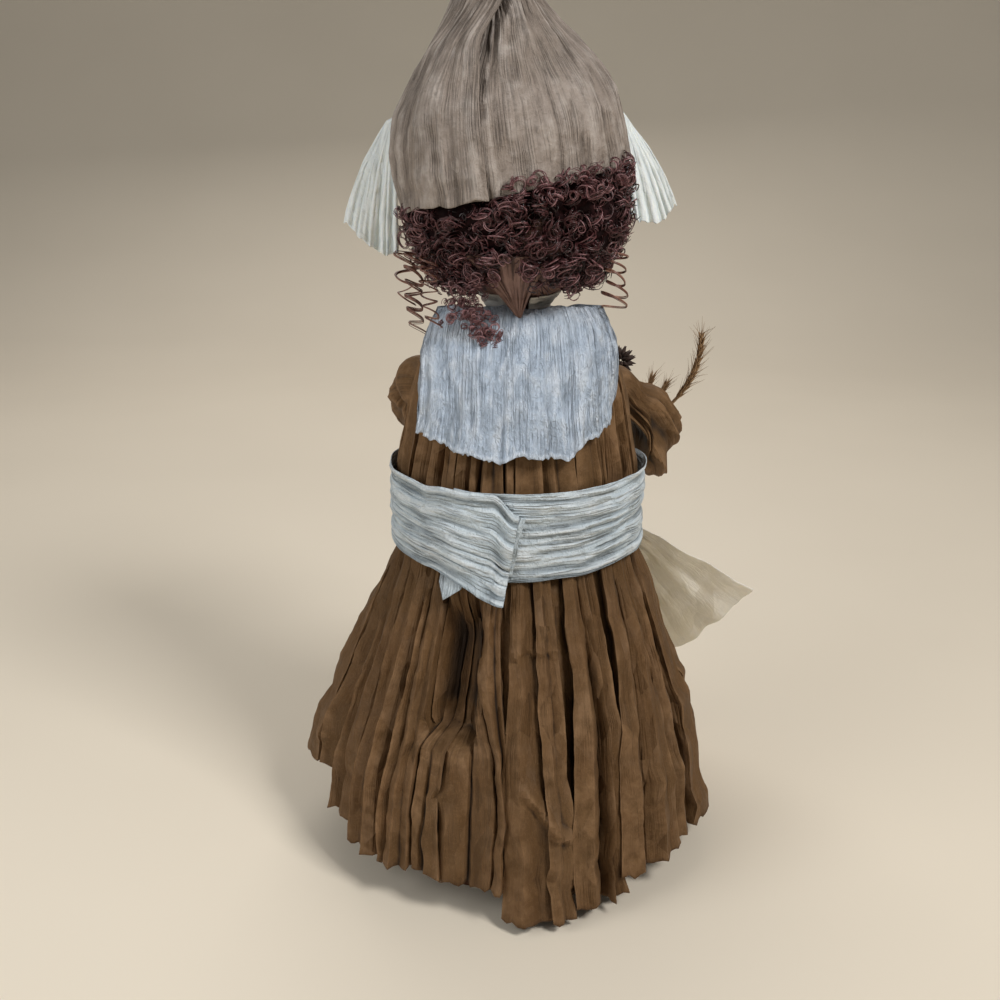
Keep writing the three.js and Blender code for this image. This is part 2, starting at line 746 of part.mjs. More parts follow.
/** A dried flower: a ball of a seed box in a cup of short stiff petals. */
function flowerHead(at, aim) {
  const petals = Array.from({ length: PETALS }, (_, i) => {
    const turn = (2 * Math.PI * i) / PETALS;
    const petal = ball(vec(0, 0, 0), 1, 6, 4).scale(0.32 * FLOWER_R, 0.2 * FLOWER_R, 0.75 * FLOWER_R);
    return petal.rotateX(-0.5).translate(0, 0.75 * FLOWER_R, 0.5 * FLOWER_R).rotateZ(turn);
  });
  const heart = ball(vec(0, 0, 0.3 * FLOWER_R), 0.72 * FLOWER_R, 8, 6);
  return [heart, ...petals].map((part) => along(part, at, aim));
}

SPIKES.forEach((plan, k) => piece(`grass_spike_${k + 1}`, "grass", stalk(plan, shortSpike)));
piece("grass_ear", "grass", stalk(EAR, longEar));
piece("dried_flower", "flower", stalk(FLOWER, flowerHead));
const binding = new THREE.TorusGeometry(BUNDLE_R + STALK_R + GAP + STRING_R, STRING_R, 5, 16);
piece("sheaf_string", "string", along(binding, inSheaf(-0.6 * STALK_BELOW_HAND, 0, 0), sheafUp));

// Head

const headAt = vec(0, 0, HEAD_Z);
const dowelBore = DOWEL_R + GAP;

/** An arc of a turned profile about the head's centre, from one polar angle to another. */
function headArc(radius, from, to) {
  const steps = 8;
  return Array.from({ length: steps + 1 }, (_, i) => {
    const angle = lerp(from, to, i / steps);
    return [radius * Math.sin(angle), HEAD_Z + radius * Math.cos(angle)];
  });
}

const boreEdge = (radius) => Math.PI - Math.asin(dowelBore / radius);

function headBall() {
  const deep = dowelHigh + GAP;
  return turned([...headArc(HEAD_R, 0, boreEdge(HEAD_R)), [dowelBore, deep], [0, deep]], 4 * NECK_FOLDS);
}

/** Paper drawn over the ball and gathered into folds round the dowel. */
function headCover() {
  const inside = HEAD_R + GAP;
  const outerStart = Math.PI - Math.asin((NECK_R + 1.5) / SKIN_R);
  const geometry = turned([
    ...headArc(inside, 0, boreEdge(inside)),
    [dowelBore, NECK_Z + GAP],
    [NECK_R, NECK_Z + GAP],
    [NECK_R, NECK_Z + CHIN_RISE - 1],
    ...headArc(SKIN_R, outerStart, 0),
  ], 4 * NECK_FOLDS);
  const place = geometry.attributes.position;
  for (let i = 0; i < place.count; i += 1) {
    const at = vec().fromBufferAttribute(place, i);
    const radius = Math.hypot(at.x, at.y);
    const low = 1 - smoothstep(at.z, NECK_Z + CHIN_RISE, HEAD_Z - 0.6 * HEAD_R);
    const outside = at.distanceTo(headAt) > inside + 0.5 * SKIN && radius > dowelBore + 0.5;
    const squeeze = outside ? 1 - (NECK_FOLD * low * fold(Math.atan2(at.y, at.x), NECK_FOLDS)) / radius : 1;
    place.setXY(i, at.x * squeeze, at.y * squeeze);
  }
  return geometry;
}

piece("head_ball", "foam", headBall());
piece("head_cover", "skin", headCover());
const neckLoop = new THREE.TorusGeometry(NECK_R + GAP + STRING_R, STRING_R, 5, 24);
piece("neck_string", "string", neckLoop.translate(0, 0, NECK_Z + 0.5 * CHIN_RISE - 1));

/** A point at a distance from the head's centre, by azimuth and elevation. */
function onHead(azimuth, elevation, distance) {
  const flat = distance * Math.cos(elevation);
  return vec(flat * Math.cos(azimuth), flat * Math.sin(azimuth), HEAD_Z + distance * Math.sin(elevation));
}

/** How far the wig's curls reach from the head's centre, by shares of its width and height. */
function wigReach(u, v) {
  const body = WIG_BULGE * Math.sin(Math.PI * u) ** 0.5 * Math.sin(Math.PI * Math.min(1, 1.6 * v)) ** 0.7;
  const curls = 0.25 * body * Math.sin(WIG_CURLS * Math.PI * u) * Math.sin(0.3 * WIG_CURLS * Math.PI * v);
  return SKIN_R + GAP + WIG_THIN + body + curls;
}

function wig() {
  const place = (u, v, reach) => onHead(lerp(WIG_FROM, WIG_TO, u), lerp(WIG_LOW, WIG_HIGH, v), reach);
  const outer = (u, v) => place(u, v, wigReach(u, v));
  const inner = (u, v) => place(u, v, SKIN_R + GAP);
  return sheet({ outer, inner, columns: 30, rows: 6 });
}

piece("wig", "hair", wig());

/** A helix that hangs from a point on the wig, where it starts, at an azimuth of the head. */
class Ringlet extends THREE.Curve {
  constructor(root, azimuth, turns) {
    super();
    this.axis = oval(RINGLET_R, RINGLET_R, azimuth, 0).add(root);
    this.start = azimuth + Math.PI;
    this.turns = turns;
  }

  getPoint(t, target = vec()) {
    const angle = this.start + 2 * Math.PI * this.turns * t;
    const drop = RINGLET_PITCH * this.turns * t;
    return target.copy(this.axis).add(oval(RINGLET_R, RINGLET_R, angle, -drop));
  }
}

/** The least gap between a ringlet's turns, measured on points along it. */
function leastGap(path, turns) {
  const perTurn = 48;
  const points = path.getPoints(perTurn * turns);
  let least = Infinity;
  points.forEach((point, i) => {
    points.slice(i + perTurn / 2).forEach((other) => {
      least = Math.min(least, point.distanceTo(other));
    });
  });
  return least - 2 * HAIR_R;
}

RINGLETS.forEach(({ name, at, turns }) => {
  const azimuth = degToRad(at);
  const share = (azimuth - WIG_FROM) / (WIG_TO - WIG_FROM);
  const hair = wigReach(share, (RINGLET_TOP - WIG_LOW) / (WIG_HIGH - WIG_LOW));
  const path = new Ringlet(onHead(azimuth, RINGLET_TOP, hair + HAIR_R + GAP), azimuth, turns);
  piece(`ringlet_${name}`, "hair", tube(path, HAIR_R, 5, 8 * turns));
  console.log(`ringlet_${name}: least gap between turns ${leastGap(path, turns).toFixed(2)} mm`);
});

/** The cap's outer radius at a height above the head's centre, along the cap's own axis. */
const capRadius = (height) => between(CAP_PROFILE, height)[0];

function cap() {
  const rows = 8;
  const full = 2 * Math.PI + CAP_LAP;
  const tip = CAP_PROFILE.at(-1)[0];
  const place = (u, v, depth) => {
    const turn = full * u;
    const angle = CAP_END - turn;
    const front = Math.max(0, -Math.sin(angle)) ** 2;
    const rim = CAP_RIM - CAP_RIM_SLANT * Math.cos(angle) + CAP_RIM_FRONT * front;
    const height = lerp(rim, tip, v);
    const lift = (PAPER + GAP) * (1 - smoothstep(turn, CAP_LAP, 2 * CAP_LAP));
    const radius = capRadius(height) + lift - depth;
    return oval(radius, radius, angle, height);
  };
  const outer = (u, v) => place(u, v, 0);
  const inner = (u, v) => place(u, v, PAPER);
  return sheet({ outer, inner, columns: 34, rows }).rotateY(CAP_TILT).translate(0, 0, HEAD_Z);
}

piece("cap", "cap", cap());

/** How far the cap's surface lies from the head's centre along a direction. */
function capReach(direction) {
  const own = direction.clone().applyAxisAngle(vec(0, 1, 0), -CAP_TILT);
  const flat = Math.hypot(own.x, own.y);
  let [near, far] = [0, 2 * CAP_PROFILE.at(-1)[0]];
  for (let i = 0; i < 40; i += 1) {
    const middle = 0.5 * (near + far);
    const inside = middle * flat < capRadius(middle * own.z);
    [near, far] = inside ? [middle, far] : [near, middle];
  }
  return far;
}

function bonnetBand() {
  const place = (u, v, out) => {
    const right = BAND_SPAN.right + BAND_REAR_HANGS.right * (1 - v);
    const left = BAND_SPAN.left + BAND_REAR_HANGS.left * (1 - v);
    const swing = lerp(-right, left, u);
    const end = smoothstep(Math.abs(swing), BAND_FAN_FROM, BAND_SPAN.left);
    const high = Math.max(0, Math.cos(swing));
    const rear = lerp(BAND_REAR_LEAN.end, BAND_REAR_LEAN.top, high);
    const lean = lerp(rear, lerp(BAND_FRONT_LEAN.end, BAND_FRONT_LEAN.top, high), v);
    const up = vec(Math.sin(swing) * Math.cos(lean), -Math.sin(lean), Math.cos(swing) * Math.cos(lean));
    const flare = lerp(BAND_FLARE_TOP, BAND_FLARE_END, end) * v;
    const wave = BAND_WAVE * end * (1 + Math.sin(6 * Math.PI * v));
    const far = capReach(up) + 2 * GAP + flare + wave + out;
    return up.multiplyScalar(far).add(headAt);
  };
  const outer = (u, v) => place(u, v, PAPER);
  const inner = (u, v) => place(u, v, 0);
  return sheet({ outer, inner, columns: 32, rows: 5 });
}

piece("bonnet_band", "white", bonnetBand());

export default doll;
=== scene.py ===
"""Looks of a crepe paper doll: paper clothes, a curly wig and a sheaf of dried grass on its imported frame."""

from __future__ import annotations

import logging
import math
from collections.abc import Callable, Sequence
from dataclasses import dataclass, replace
from enum import Enum

import bpy
import numpy as np
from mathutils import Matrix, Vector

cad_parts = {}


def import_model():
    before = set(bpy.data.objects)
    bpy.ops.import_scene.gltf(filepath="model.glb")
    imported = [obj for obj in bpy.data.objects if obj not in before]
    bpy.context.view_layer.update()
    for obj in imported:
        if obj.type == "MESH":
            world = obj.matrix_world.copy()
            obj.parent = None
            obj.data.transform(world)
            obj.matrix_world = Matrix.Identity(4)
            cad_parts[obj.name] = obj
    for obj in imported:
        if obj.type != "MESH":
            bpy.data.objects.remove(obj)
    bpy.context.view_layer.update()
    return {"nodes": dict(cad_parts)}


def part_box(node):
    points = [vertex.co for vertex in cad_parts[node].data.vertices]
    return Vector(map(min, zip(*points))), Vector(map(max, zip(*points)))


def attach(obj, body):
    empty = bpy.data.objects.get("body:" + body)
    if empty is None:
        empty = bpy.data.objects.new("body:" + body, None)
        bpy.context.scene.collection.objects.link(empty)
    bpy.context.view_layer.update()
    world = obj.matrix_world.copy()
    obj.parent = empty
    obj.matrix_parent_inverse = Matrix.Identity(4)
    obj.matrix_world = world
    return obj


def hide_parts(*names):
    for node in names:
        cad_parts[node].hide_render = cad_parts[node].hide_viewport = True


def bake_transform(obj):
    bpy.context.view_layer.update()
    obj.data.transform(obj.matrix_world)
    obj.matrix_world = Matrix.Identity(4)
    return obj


log = logging.getLogger("crepe_doll")
MM = 0.001
HEAD_Z = 265.0
WAIST_LOW = 127.0
SPIRAL = math.radians(137.5)
ANY_PHASE = (0, 6.28)
Array = np.ndarray
Colour = tuple[int, int, int]
Place = tuple[float, float, float]
Socket = bpy.types.NodeSocket
Material = bpy.types.Material
Piece = bpy.types.Object


class Grain(Enum):
    """Which way the ridges of a sheet of crepe paper run."""

    UPRIGHT = "upright"
    LEVEL = "level"


class Hold(Enum):
    """How a sheet is held on the doll."""

    GATHERED = "gathered"
    DRAPED = "draped"
    HUNG = "hung"
    FOLDED = "folded"
    STRETCHED = "stretched"


# Arithmetic on grids of points


class Noise:
    """Smooth seeded noise on a lattice that repeats."""

    SIZE = 64

    def __init__(self, seed: int) -> None:
        """Fill the lattice from a seed, so that each run gives the same sheet."""
        self.values = np.random.default_rng(seed).random((self.SIZE, self.SIZE))

    def __call__(self, x: Array | float, y: Array | float = 0.0, wrap: int | None = None) -> Array:
        """Noise from -1 to 1.

        Args:
            x: places along the lattice's first side.
            y: places along its second side.
            wrap: steps after which it repeats along x, for a ring.

        Returns:
            The noise at each place.
        """
        x, y = np.broadcast_arrays(np.asarray(x, float), np.asarray(y, float))
        high = self.SIZE
        turn = wrap or high
        left, low = np.floor(x).astype(int), np.floor(y).astype(int)
        s, t = x - left, y - low
        s, t = s * s * (3 - 2 * s), t * t * (3 - 2 * t)
        near, far = left % turn % high, (left + 1) % turn % high
        under, over = low % high, (low + 1) % high
        start = self.values[near, under] * (1 - s) + self.values[far, under] * s
        end = self.values[near, over] * (1 - s) + self.values[far, over] * s
        return 2 * (start * (1 - t) + end * t) - 1

    def creased(self, x: Array | float, y: Array | float = 0.0, wrap: int | None = None) -> Array:
        """Noise with sharp crests, from -1 to 1, as paper that was folded and opened again."""
        return 1 - 2 * np.abs(self(x, y, wrap))

    def crumpled(self, x: Array, y: Array, wrap: int | None = None) -> Array:
        """Three layers of creases, each half the size and the depth of the one before."""
        return sum(
            0.5**k * self.creased(x * 2**k + 7 * k * (wrap is None), y * 2**k, wrap and wrap * 2**k)
            for k in range(3)
        )


def ease(value: Array | float, low: float, high: float) -> Array:
    """A smooth step from 0 at low to 1 at high."""
    t = np.clip((np.asarray(value, float) - low) / (high - low), 0, 1)
    return t * t * (3 - 2 * t)


def blend_of(a: Array | float, b: Array | float, share: Array | float) -> Array:
    """The value at a share of the way from a to b."""
    return a + (np.asarray(b) - a) * share


def unit(vectors: Array) -> Array:
    """Vectors of length one."""
    return vectors / np.maximum(np.linalg.norm(vectors, axis=-1, keepdims=True), 1e-12)


def between(table: Sequence[Sequence[float]], at: Array, soft: float = 0.0) -> list[Array]:
    """Values at places on a list of stations.

    Args:
        table: stations, each a place followed by its values, in rising order.
        at: the places asked for.
        soft: distance over which corners between stations are rounded.

    Returns:
        One array for each value of a station.
    """
    rows = np.array(table, float)
    shifts = np.linspace(-soft, soft, 7) if soft else [0.0]
    return [
        np.mean([np.interp(at + shift, rows[:, 0], rows[:, k]) for shift in shifts], axis=0)
        for k in range(1, rows.shape[1])
    ]


def running(lengths: Array) -> Array:
    """Running sums of lengths, from zero."""
    return np.concatenate([[0], np.cumsum(lengths)])


def evenly(points: Sequence[Place] | Array, count: int) -> Array:
    """Points at even distances along a line with corners.

    Args:
        points: the line's corners.
        count: number of points asked for.

    Returns:
        The points.
    """
    corners = np.array(points, float)
    place = running(np.linalg.norm(np.diff(corners, axis=0), axis=1))
    at = np.linspace(0, place[-1], count)
    return np.stack([np.interp(at, place, corners[:, k]) for k in range(3)], axis=-1)


def carried(tangent: Array, start: Array) -> tuple[Array, Array]:
    """Two directions across each of many lines, carried along it without a twist.

    Args:
        tangent: each line's direction at each of its points.
        start: a direction for each line to start from.

    Returns:
        Both directions at each point.
    """
    side = np.zeros_like(tangent)
    for k in range(tangent.shape[1]):
        start = unit(start - np.sum(start * tangent[:, k], axis=1, keepdims=True) * tangent[:, k])
        side[:, k] = start
    return side, np.cross(tangent, side)


def oval(x: Array, y: Array, angle: Array, z: Array, middle: Array | float = 0.0) -> Array:
    """Points on ellipses round the doll's axis."""
    return np.stack(np.broadcast_arrays(x * np.cos(angle), middle + y * np.sin(angle), z), axis=-1)


def blurred(grid: Array, count: int, axis: int, ring: bool) -> Array:
    """A running mean over count steps each way along an axis of a grid.

    Args:
        grid: the values.
        count: steps taken in on each side.
        axis: the axis to run along.
        ring: whether axis 1 closes on itself.

    Returns:
        The smoothed grid.
    """
    if count < 1:
        return grid
    pad = [(0, 0)] * grid.ndim
    pad[axis] = (count, count)
    wide = np.pad(grid, pad, mode="wrap" if ring and axis == 1 else "edge")
    total = np.cumsum(np.insert(wide, 0, 0, axis=axis), axis=axis)
    span, size = 2 * count + 1, grid.shape[axis]
    last = np.take(total, np.arange(span, span + size), axis=axis)
    return (last - np.take(total, np.arange(size), axis=axis)) / span


def grid_of(rows: int, columns: int, ring: bool = False) -> tuple[Array, Array]:
    """Shares across and down a sheet.

    Args:
        rows: points down the sheet.
        columns: points across it.
        ring: whether the last column meets the first.

    Returns:
        The share across and the share down of each point.
    """
    across = np.linspace(0, 1, columns, endpoint=not ring)
    return np.meshgrid(across, np.linspace(0, 1, rows))


# Materials


def linear(colour: Colour) -> tuple[float, float, float, float]:
    """A colour of 0 to 255 as the value that a socket takes."""
    parts = [c / 255 for c in colour]
    return (*(c / 12.92 if c <= 0.04045 else ((c + 0.055) / 1.055) ** 2.4 for c in parts), 1.0)


class Shader:
    """A node tree written from left to right."""

    def __init__(self, tree: bpy.types.NodeTree) -> None:
        """Take up a tree that is empty."""
        self.tree = tree

    def add(self, kind: str, **settings: object) -> bpy.types.Node:
        """Place a node and set its own settings."""
        node = self.tree.nodes.new(kind)
        for name, value in settings.items():
            setattr(node, name, value)
        return node

    def feed(self, socket: Socket, value: object) -> None:
        """Link a socket to another, or set its value."""
        if isinstance(value, Socket):
            self.tree.links.new(value, socket)
        else:
            socket.default_value = value

    def settle(self, node: bpy.types.Node, values: dict[str, object]) -> None:
        """Feed a node's sockets by their names."""
        for name, value in values.items():
            self.feed(node.inputs[name], value)

    def here(self) -> Socket:
        """The place on the object."""
        return self.add("ShaderNodeTexCoord").outputs["Object"]

    def marked(self, name: str) -> Socket:
        """The value that a mesh keeps for each of its points."""
        return self.add("ShaderNodeAttribute", attribute_name=name).outputs["Fac"]

    def math(self, what: str, a: object, b: object = 0.0, clamp: bool = False) -> Socket:
        """A sum on two values."""
        node = self.add("ShaderNodeMath", operation=what, use_clamp=clamp)
        self.feed(node.inputs[0], a)
        self.feed(node.inputs[1], b)
        return node.outputs[0]

    def vectors(self, what: str, a: object, b: object) -> bpy.types.bpy_prop_collection:
        """A sum on two vectors."""
        node = self.add("ShaderNodeVectorMath", operation=what)
        self.feed(node.inputs[0], a)
        self.feed(node.inputs[1], b)
        return node.outputs

    def mix(self, share: object, a: object, b: object) -> Socket:
        """Two colours mixed by a share."""
        node = self.add("ShaderNodeMix", data_type="RGBA")
        self.feed(node.inputs[0], share)
        self.feed(node.inputs[6], a)
        self.feed(node.inputs[7], b)
        return node.outputs[2]

    def spread(self, value: object, low: float, high: float, to: tuple[float, float] = (0.0, 1.0)) -> Socket:
        """A value's range stretched to another, and held inside it."""
        node = self.add("ShaderNodeMapRange")
        self.feed(node.inputs[0], value)
        for k, number in enumerate((low, high, *to), start=1):
            node.inputs[k].default_value = number
        return node.outputs[0]

    def noise(self, where: object, scale: object, detail: float = 2.0, rough: float = 0.5) -> Socket:
        """Cloudy noise round a half."""
        node = self.add("ShaderNodeTexNoise")
        self.settle(node, {"Vector": where, "Scale": scale, "Detail": detail, "Roughness": rough})
        return node.outputs["Fac"]

    def cells(self, where: object, feature: str = "F1") -> bpy.types.bpy_prop_collection:
        """A field of cells of about one unit, with distances from their middles or from their edges."""
        node = self.add("ShaderNodeTexVoronoi", voronoi_dimensions="2D", feature=feature)
        self.settle(node, {"Vector": where, "Scale": 1.0})
        return node.outputs

    def point(self, x: object, y: object) -> Socket:
        """A place on the flat sheet from its parts."""
        node = self.add("ShaderNodeCombineXYZ")
        self.settle(node, {"X": x, "Y": y})
        return node.outputs[0]

    def bump(self, surface: bpy.types.Node, height: object, distance: float) -> None:
        """Raise a surface by heights that count in units of a distance."""
        node = self.add("ShaderNodeBump")
        self.settle(node, {"Strength": 1.0, "Distance": distance, "Height": height})
        self.feed(surface.inputs["Normal"], node.outputs[0])

    def group(self, made: bpy.types.NodeTree, **values: object) -> bpy.types.bpy_prop_collection:
        """Place a shared effect with its own values and give its outputs."""
        node = self.add("ShaderNodeGroup", node_tree=made)
        self.settle(node, values)
        return node.outputs


def effect(
    name: str, inputs: dict[str, float], outputs: Sequence[str]
) -> tuple[Shader, bpy.types.Node, bpy.types.Node]:
    """Start a shared effect.

    Args:
        name: what the effect is called.
        inputs: its values and what they are unless a material says otherwise.
        outputs: the masks and heights that it gives.

    Returns:
        Its tree, and the nodes that bring the inputs in and take the outputs out.
    """
    tree = bpy.data.node_groups.new(name, "ShaderNodeTree")
    for label, value in inputs.items():
        socket = tree.interface.new_socket(name=label, in_out="INPUT", socket_type="NodeSocketFloat")
        socket.default_value = value
    for label in outputs:
        tree.interface.new_socket(name=label, in_out="OUTPUT", socket_type="NodeSocketFloat")
    shader = Shader(tree)
    return shader, shader.add("NodeGroupInput"), shader.add("NodeGroupOutput")


class Effects:
    """Effects that several finishes share, each built once."""

    def __init__(self) -> None:
        """Build each effect."""
        self.crepe = self._crepe()
        self.folds = self._fold_light_and_scuff()
        self.blotches = self._blotches()

    def _crepe(self) -> bpy.types.NodeTree:
        """Ridges of crepe paper, finer across the sheet than along it, and creases from handling."""
        shader, given, out = effect(
            "crepe_ridges",
            {"Ridge": 1.3, "Run": 16.0, "Crease": 12.0, "Dent": 1.0, "Relief": 0.5, "Tilt": 0.2},
            ("Height", "Ridges", "Creases"),
        )
        ridge, run, crease = (given.outputs[label] for label in ("Ridge", "Run", "Crease"))
        parts = shader.add("ShaderNodeSeparateXYZ")
        shader.feed(parts.inputs[0], shader.add("ShaderNodeUVMap").outputs[0])
        across, along = (shader.math("MULTIPLY", part, 1 / MM) for part in parts.outputs[:2])
        cloud = shader.point(shader.math("DIVIDE", across, 7.0), shader.math("DIVIDE", along, 11.0))
        drift = shader.math("MULTIPLY", shader.noise(cloud, 1.0, 1.0), 1.1)
        fine, broad = (self._ribs(shader, across, along, ridge, run, drift, times) for times in (1.0, 3.3))
        crease_at = shader.point(shader.math("DIVIDE", across, crease), shader.math("DIVIDE", along, crease))
        facets = shader.cells(crease_at)["Distance"]
        wrinkle = shader.math("ABSOLUTE", shader.math("SUBTRACT", shader.noise(crease_at, 2.0, 3.0, 0.6), 0.5))
        near = self._grouped(shader, across, along, 8.0, 3.0)
        far = self._grouped(shader, across, along, 15.0, 40.0)
        dents = shader.math("MULTIPLY", facets, 0.55)
        dents = shader.math("SUBTRACT", dents, shader.math("MULTIPLY", wrinkle, 1.1))
        height = shader.math("MULTIPLY", shader.math("MULTIPLY", fine, 0.5), near)
        height = shader.math("ADD", height, shader.math("MULTIPLY", shader.math("MULTIPLY", broad, 0.7), far))
        height = shader.math("ADD", height, shader.math("MULTIPLY", dents, given.outputs["Dent"]))
        height = shader.math("MULTIPLY", height, given.outputs["Relief"])
        tilted = self._planes(shader, across, along, crease)
        height = shader.math("ADD", height, shader.math("MULTIPLY", tilted, given.outputs["Tilt"]))
        shader.feed(out.inputs["Height"], height)
        # Ridges: the grooves between ribs, darkened in the finish as painted shade.
        groove = shader.spread(broad, 0.0, 0.4, (0.45, 1.0))
        groove = shader.math("MULTIPLY", shader.spread(fine, 0.0, 0.55), groove)
        shader.feed(out.inputs["Ridges"], shader.math("MULTIPLY", shader.math("SUBTRACT", 1.0, groove), near))
        # Creases: thin lines along the crests of the creases, lightened in the finish as scuffing plus a painted
        # highlight.
        shader.feed(out.inputs["Creases"], shader.spread(wrinkle, 0.0, 0.025, (1.0, 0.0)))
        return shader.tree

    @staticmethod
    def _planes(shader: Shader, across: object, along: object, size: object) -> Socket:
        """Flat planes that each lean their own way, as crushed paper has them.

        Args:
            shader: the tree to write in.
            across: place across the grain, in millimetres.
            along: place along the grain.
            size: width of a plane.

        Returns:
            The height in millimetres, for planes that lean by up to one in one.
        """
        long = shader.math("MULTIPLY", size, 1.7)
        where = shader.point(shader.math("DIVIDE", across, size), shader.math("DIVIDE", along, long))
        cell = shader.cells(where)
        lean = shader.vectors("SUBTRACT", cell["Color"], (0.5, 0.5, 0.5))[0]
        away = shader.vectors("SUBTRACT", where, cell["Position"])[0]
        rise = shader.vectors("DOT_PRODUCT", lean, away)["Value"]
        return shader.math("MULTIPLY", shader.math("MULTIPLY", rise, size), 2.0)

    @staticmethod
    def _grouped(shader: Shader, across: object, along: object, size: float, shift: float) -> Socket:
        """Where ribs stand in groups, from 0.15 between them to 1.

        Args:
            shader: the tree to write in.
            across: place across the grain, in millimetres.
            along: place along the grain.
            size: width of a group.
            shift: sets one pattern of groups apart from another.

        Returns:
            The strength of the ribs.
        """
        wide = shader.math("ADD", shader.math("DIVIDE", across, size), shift)
        where = shader.point(wide, shader.math("DIVIDE", along, 2.2 * size))
        return shader.spread(shader.noise(where, 1.0, 2.0, 0.6), 0.4, 0.62, (0.15, 1.0))

    @staticmethod
    def _ribs(
        shader: Shader, across: object, along: object, ridge: object, run: object, drift: object, times: float
    ) -> Socket:
        """Narrow ribs with sharp grooves between them.

        Args:
            shader: the tree to write in.
            across: place across the grain, in millimetres.
            along: place along the grain.
            ridge: width of a rib.
            run: its length.
            drift: how far the grooves wander.
            times: how many times larger these ribs are.

        Returns:
            0 in the grooves, rising to 1 on the ribs.
        """
        wide = shader.math("DIVIDE", across, shader.math("MULTIPLY", ridge, times))
        long = shader.math("DIVIDE", along, shader.math("MULTIPLY", run, times**0.5))
        where = shader.point(shader.math("ADD", wide, shader.math("DIVIDE", drift, times)), long)
        return shader.spread(shader.cells(where, "DISTANCE_TO_EDGE")["Distance"], 0.0, 0.24)

    def _fold_light_and_scuff(self) -> bpy.types.NodeTree:
        """Crests painted paler, for scuffing plus a painted highlight, and valleys painted darker as painted shade,
        from the sheet's own folds.
        """
        shader, _, out = effect("fold_light_and_scuff", {}, ("Crest", "Valley"))
        fold, edge = shader.marked("fold"), shader.marked("edge")
        patchy = shader.noise(shader.here(), 160.0, 3.0, 0.6)
        # Pale lines on the fine crests: scuffing plus a painted highlight.
        scuff_and_light = shader.spread(patchy, 0.3, 0.6, (0.25, 1.0))
        scuff_and_light = shader.math("MULTIPLY", shader.spread(edge, 0.62, 0.95), scuff_and_light)
        # Crest: paler broad fold crests as well, scuffing plus a painted highlight.
        high = shader.math("MULTIPLY", shader.spread(fold, 0.6, 0.95), shader.spread(patchy, 0.35, 0.65))
        shader.feed(out.inputs["Crest"], shader.math("MAXIMUM", scuff_and_light, high))
        # Valley: darker fine creases and deep fold valleys, painted shade.
        line, deep = shader.spread(edge, 0.36, 0.1), shader.spread(fold, 0.42, 0.05)
        shader.feed(out.inputs["Valley"], shader.math("MAXIMUM", line, deep))
        return shader.tree

    def _blotches(self) -> bpy.types.NodeTree:
        """Slow changes of tone, as age and damp leave them."""
        shader, given, out = effect("aged_blotches", {"Size": 40.0}, ("Broad", "Small"))
        where = shader.here()
        scale = shader.math("DIVIDE", 1 / MM, given.outputs["Size"])
        broad = shader.noise(where, scale, 3.0, 0.55)
        small = shader.noise(where, shader.math("MULTIPLY", scale, 5.0), 2.0, 0.6)
        shader.feed(out.inputs["Broad"], shader.spread(broad, 0.36, 0.64))
        shader.feed(out.inputs["Small"], shader.spread(small, 0.4, 0.7))
        return shader.tree


def new_material(name: str) -> tuple[Material, Shader, bpy.types.Node]:
    """An empty material with its main shader placed.

    Args:
        name: what the finish is called.

    Returns:
        The material, its tree and its main shader.
    """
    material = bpy.data.materials.new(name)
    material.use_nodes = True
    material.node_tree.nodes.clear()
    shader = Shader(material.node_tree)
    surface = shader.add("ShaderNodeBsdfPrincipled")
    end = shader.add("ShaderNodeOutputMaterial")
    shader.feed(end.inputs["Surface"], surface.outputs[0])
    return material, shader, surface


@dataclass(frozen=True)
class CrepeFinish:
    """Crepe paper: its tones, its ridges and how it takes the light."""

    name: str
    tone: Colour
    # aged is the paper's own tone in its age blotches. deep is the colour of the painted shade in grooves and fold
    # valleys, and of random mottling. The colour after it, for crease lines and crests, is scuffing plus a painted
    # highlight.
    aged: Colour
    deep: Colour
    scuff_and_highlight: Colour
    ridge: float = 1.3
    run: float = 16.0
    crease: float = 12.0
    relief: float = 0.5
    ridge_shade: float = 0.22
    roughness: float = 0.78
    # valley: how strong the painted shade in the fold valleys is.
    valley: float = 0.85
    through: float = 0.0
    dent: float = 1.0
    mottle: float = 0.08
    tilt: float = 0.15

    def material(self, effects: Effects) -> Material:
        """The finish as a material.

        Args:
            effects: the shared effects.

        Returns:
            The material.
        """
        material, shader, surface = new_material(self.name)
        sizes = dict(Ridge=self.ridge, Run=self.run, Crease=self.crease)
        depths = dict(Dent=self.dent, Relief=self.relief, Tilt=self.tilt)
        crepe = shader.group(effects.crepe, **sizes, **depths)
        folds = shader.group(effects.folds)
        age = shader.group(effects.blotches)
        tone = shader.mix(age["Broad"], linear(self.tone), linear(self.aged))
        tone = shader.mix(shader.math("MULTIPLY", age["Small"], self.mottle), tone, linear(self.deep))
        # Darkening towards deep in the grooves and fold valleys is painted shade; the lightening of crease lines
        # and crests is scuffing plus a painted highlight.
        tone = shader.mix(shader.math("MULTIPLY", crepe["Ridges"], self.ridge_shade), tone, linear(self.deep))
        tone = shader.mix(shader.math("MULTIPLY", crepe["Creases"], 0.16), tone, linear(self.scuff_and_highlight))
        tone = shader.mix(shader.math("MULTIPLY", folds["Valley"], self.valley), tone, linear(self.deep))
        tone = shader.mix(shader.math("MULTIPLY", folds["Crest"], 0.5), tone, linear(self.scuff_and_highlight))
        rough = shader.spread(age["Small"], 0.0, 1.0, (self.roughness - 0.08, self.roughness + 0.1))
        shader.settle(surface, {"Base Color": tone, "Roughness": rough, "Specular IOR Level": 0.35})
        glow = {"Weight": self.through, "Radius": (1.0, 0.9, 0.7), "Scale": 2.0 * MM}
        shader.settle(surface, {f"Subsurface {name}": value for name, value in glow.items()})
        shader.bump(surface, crepe["Height"], MM)
        return material


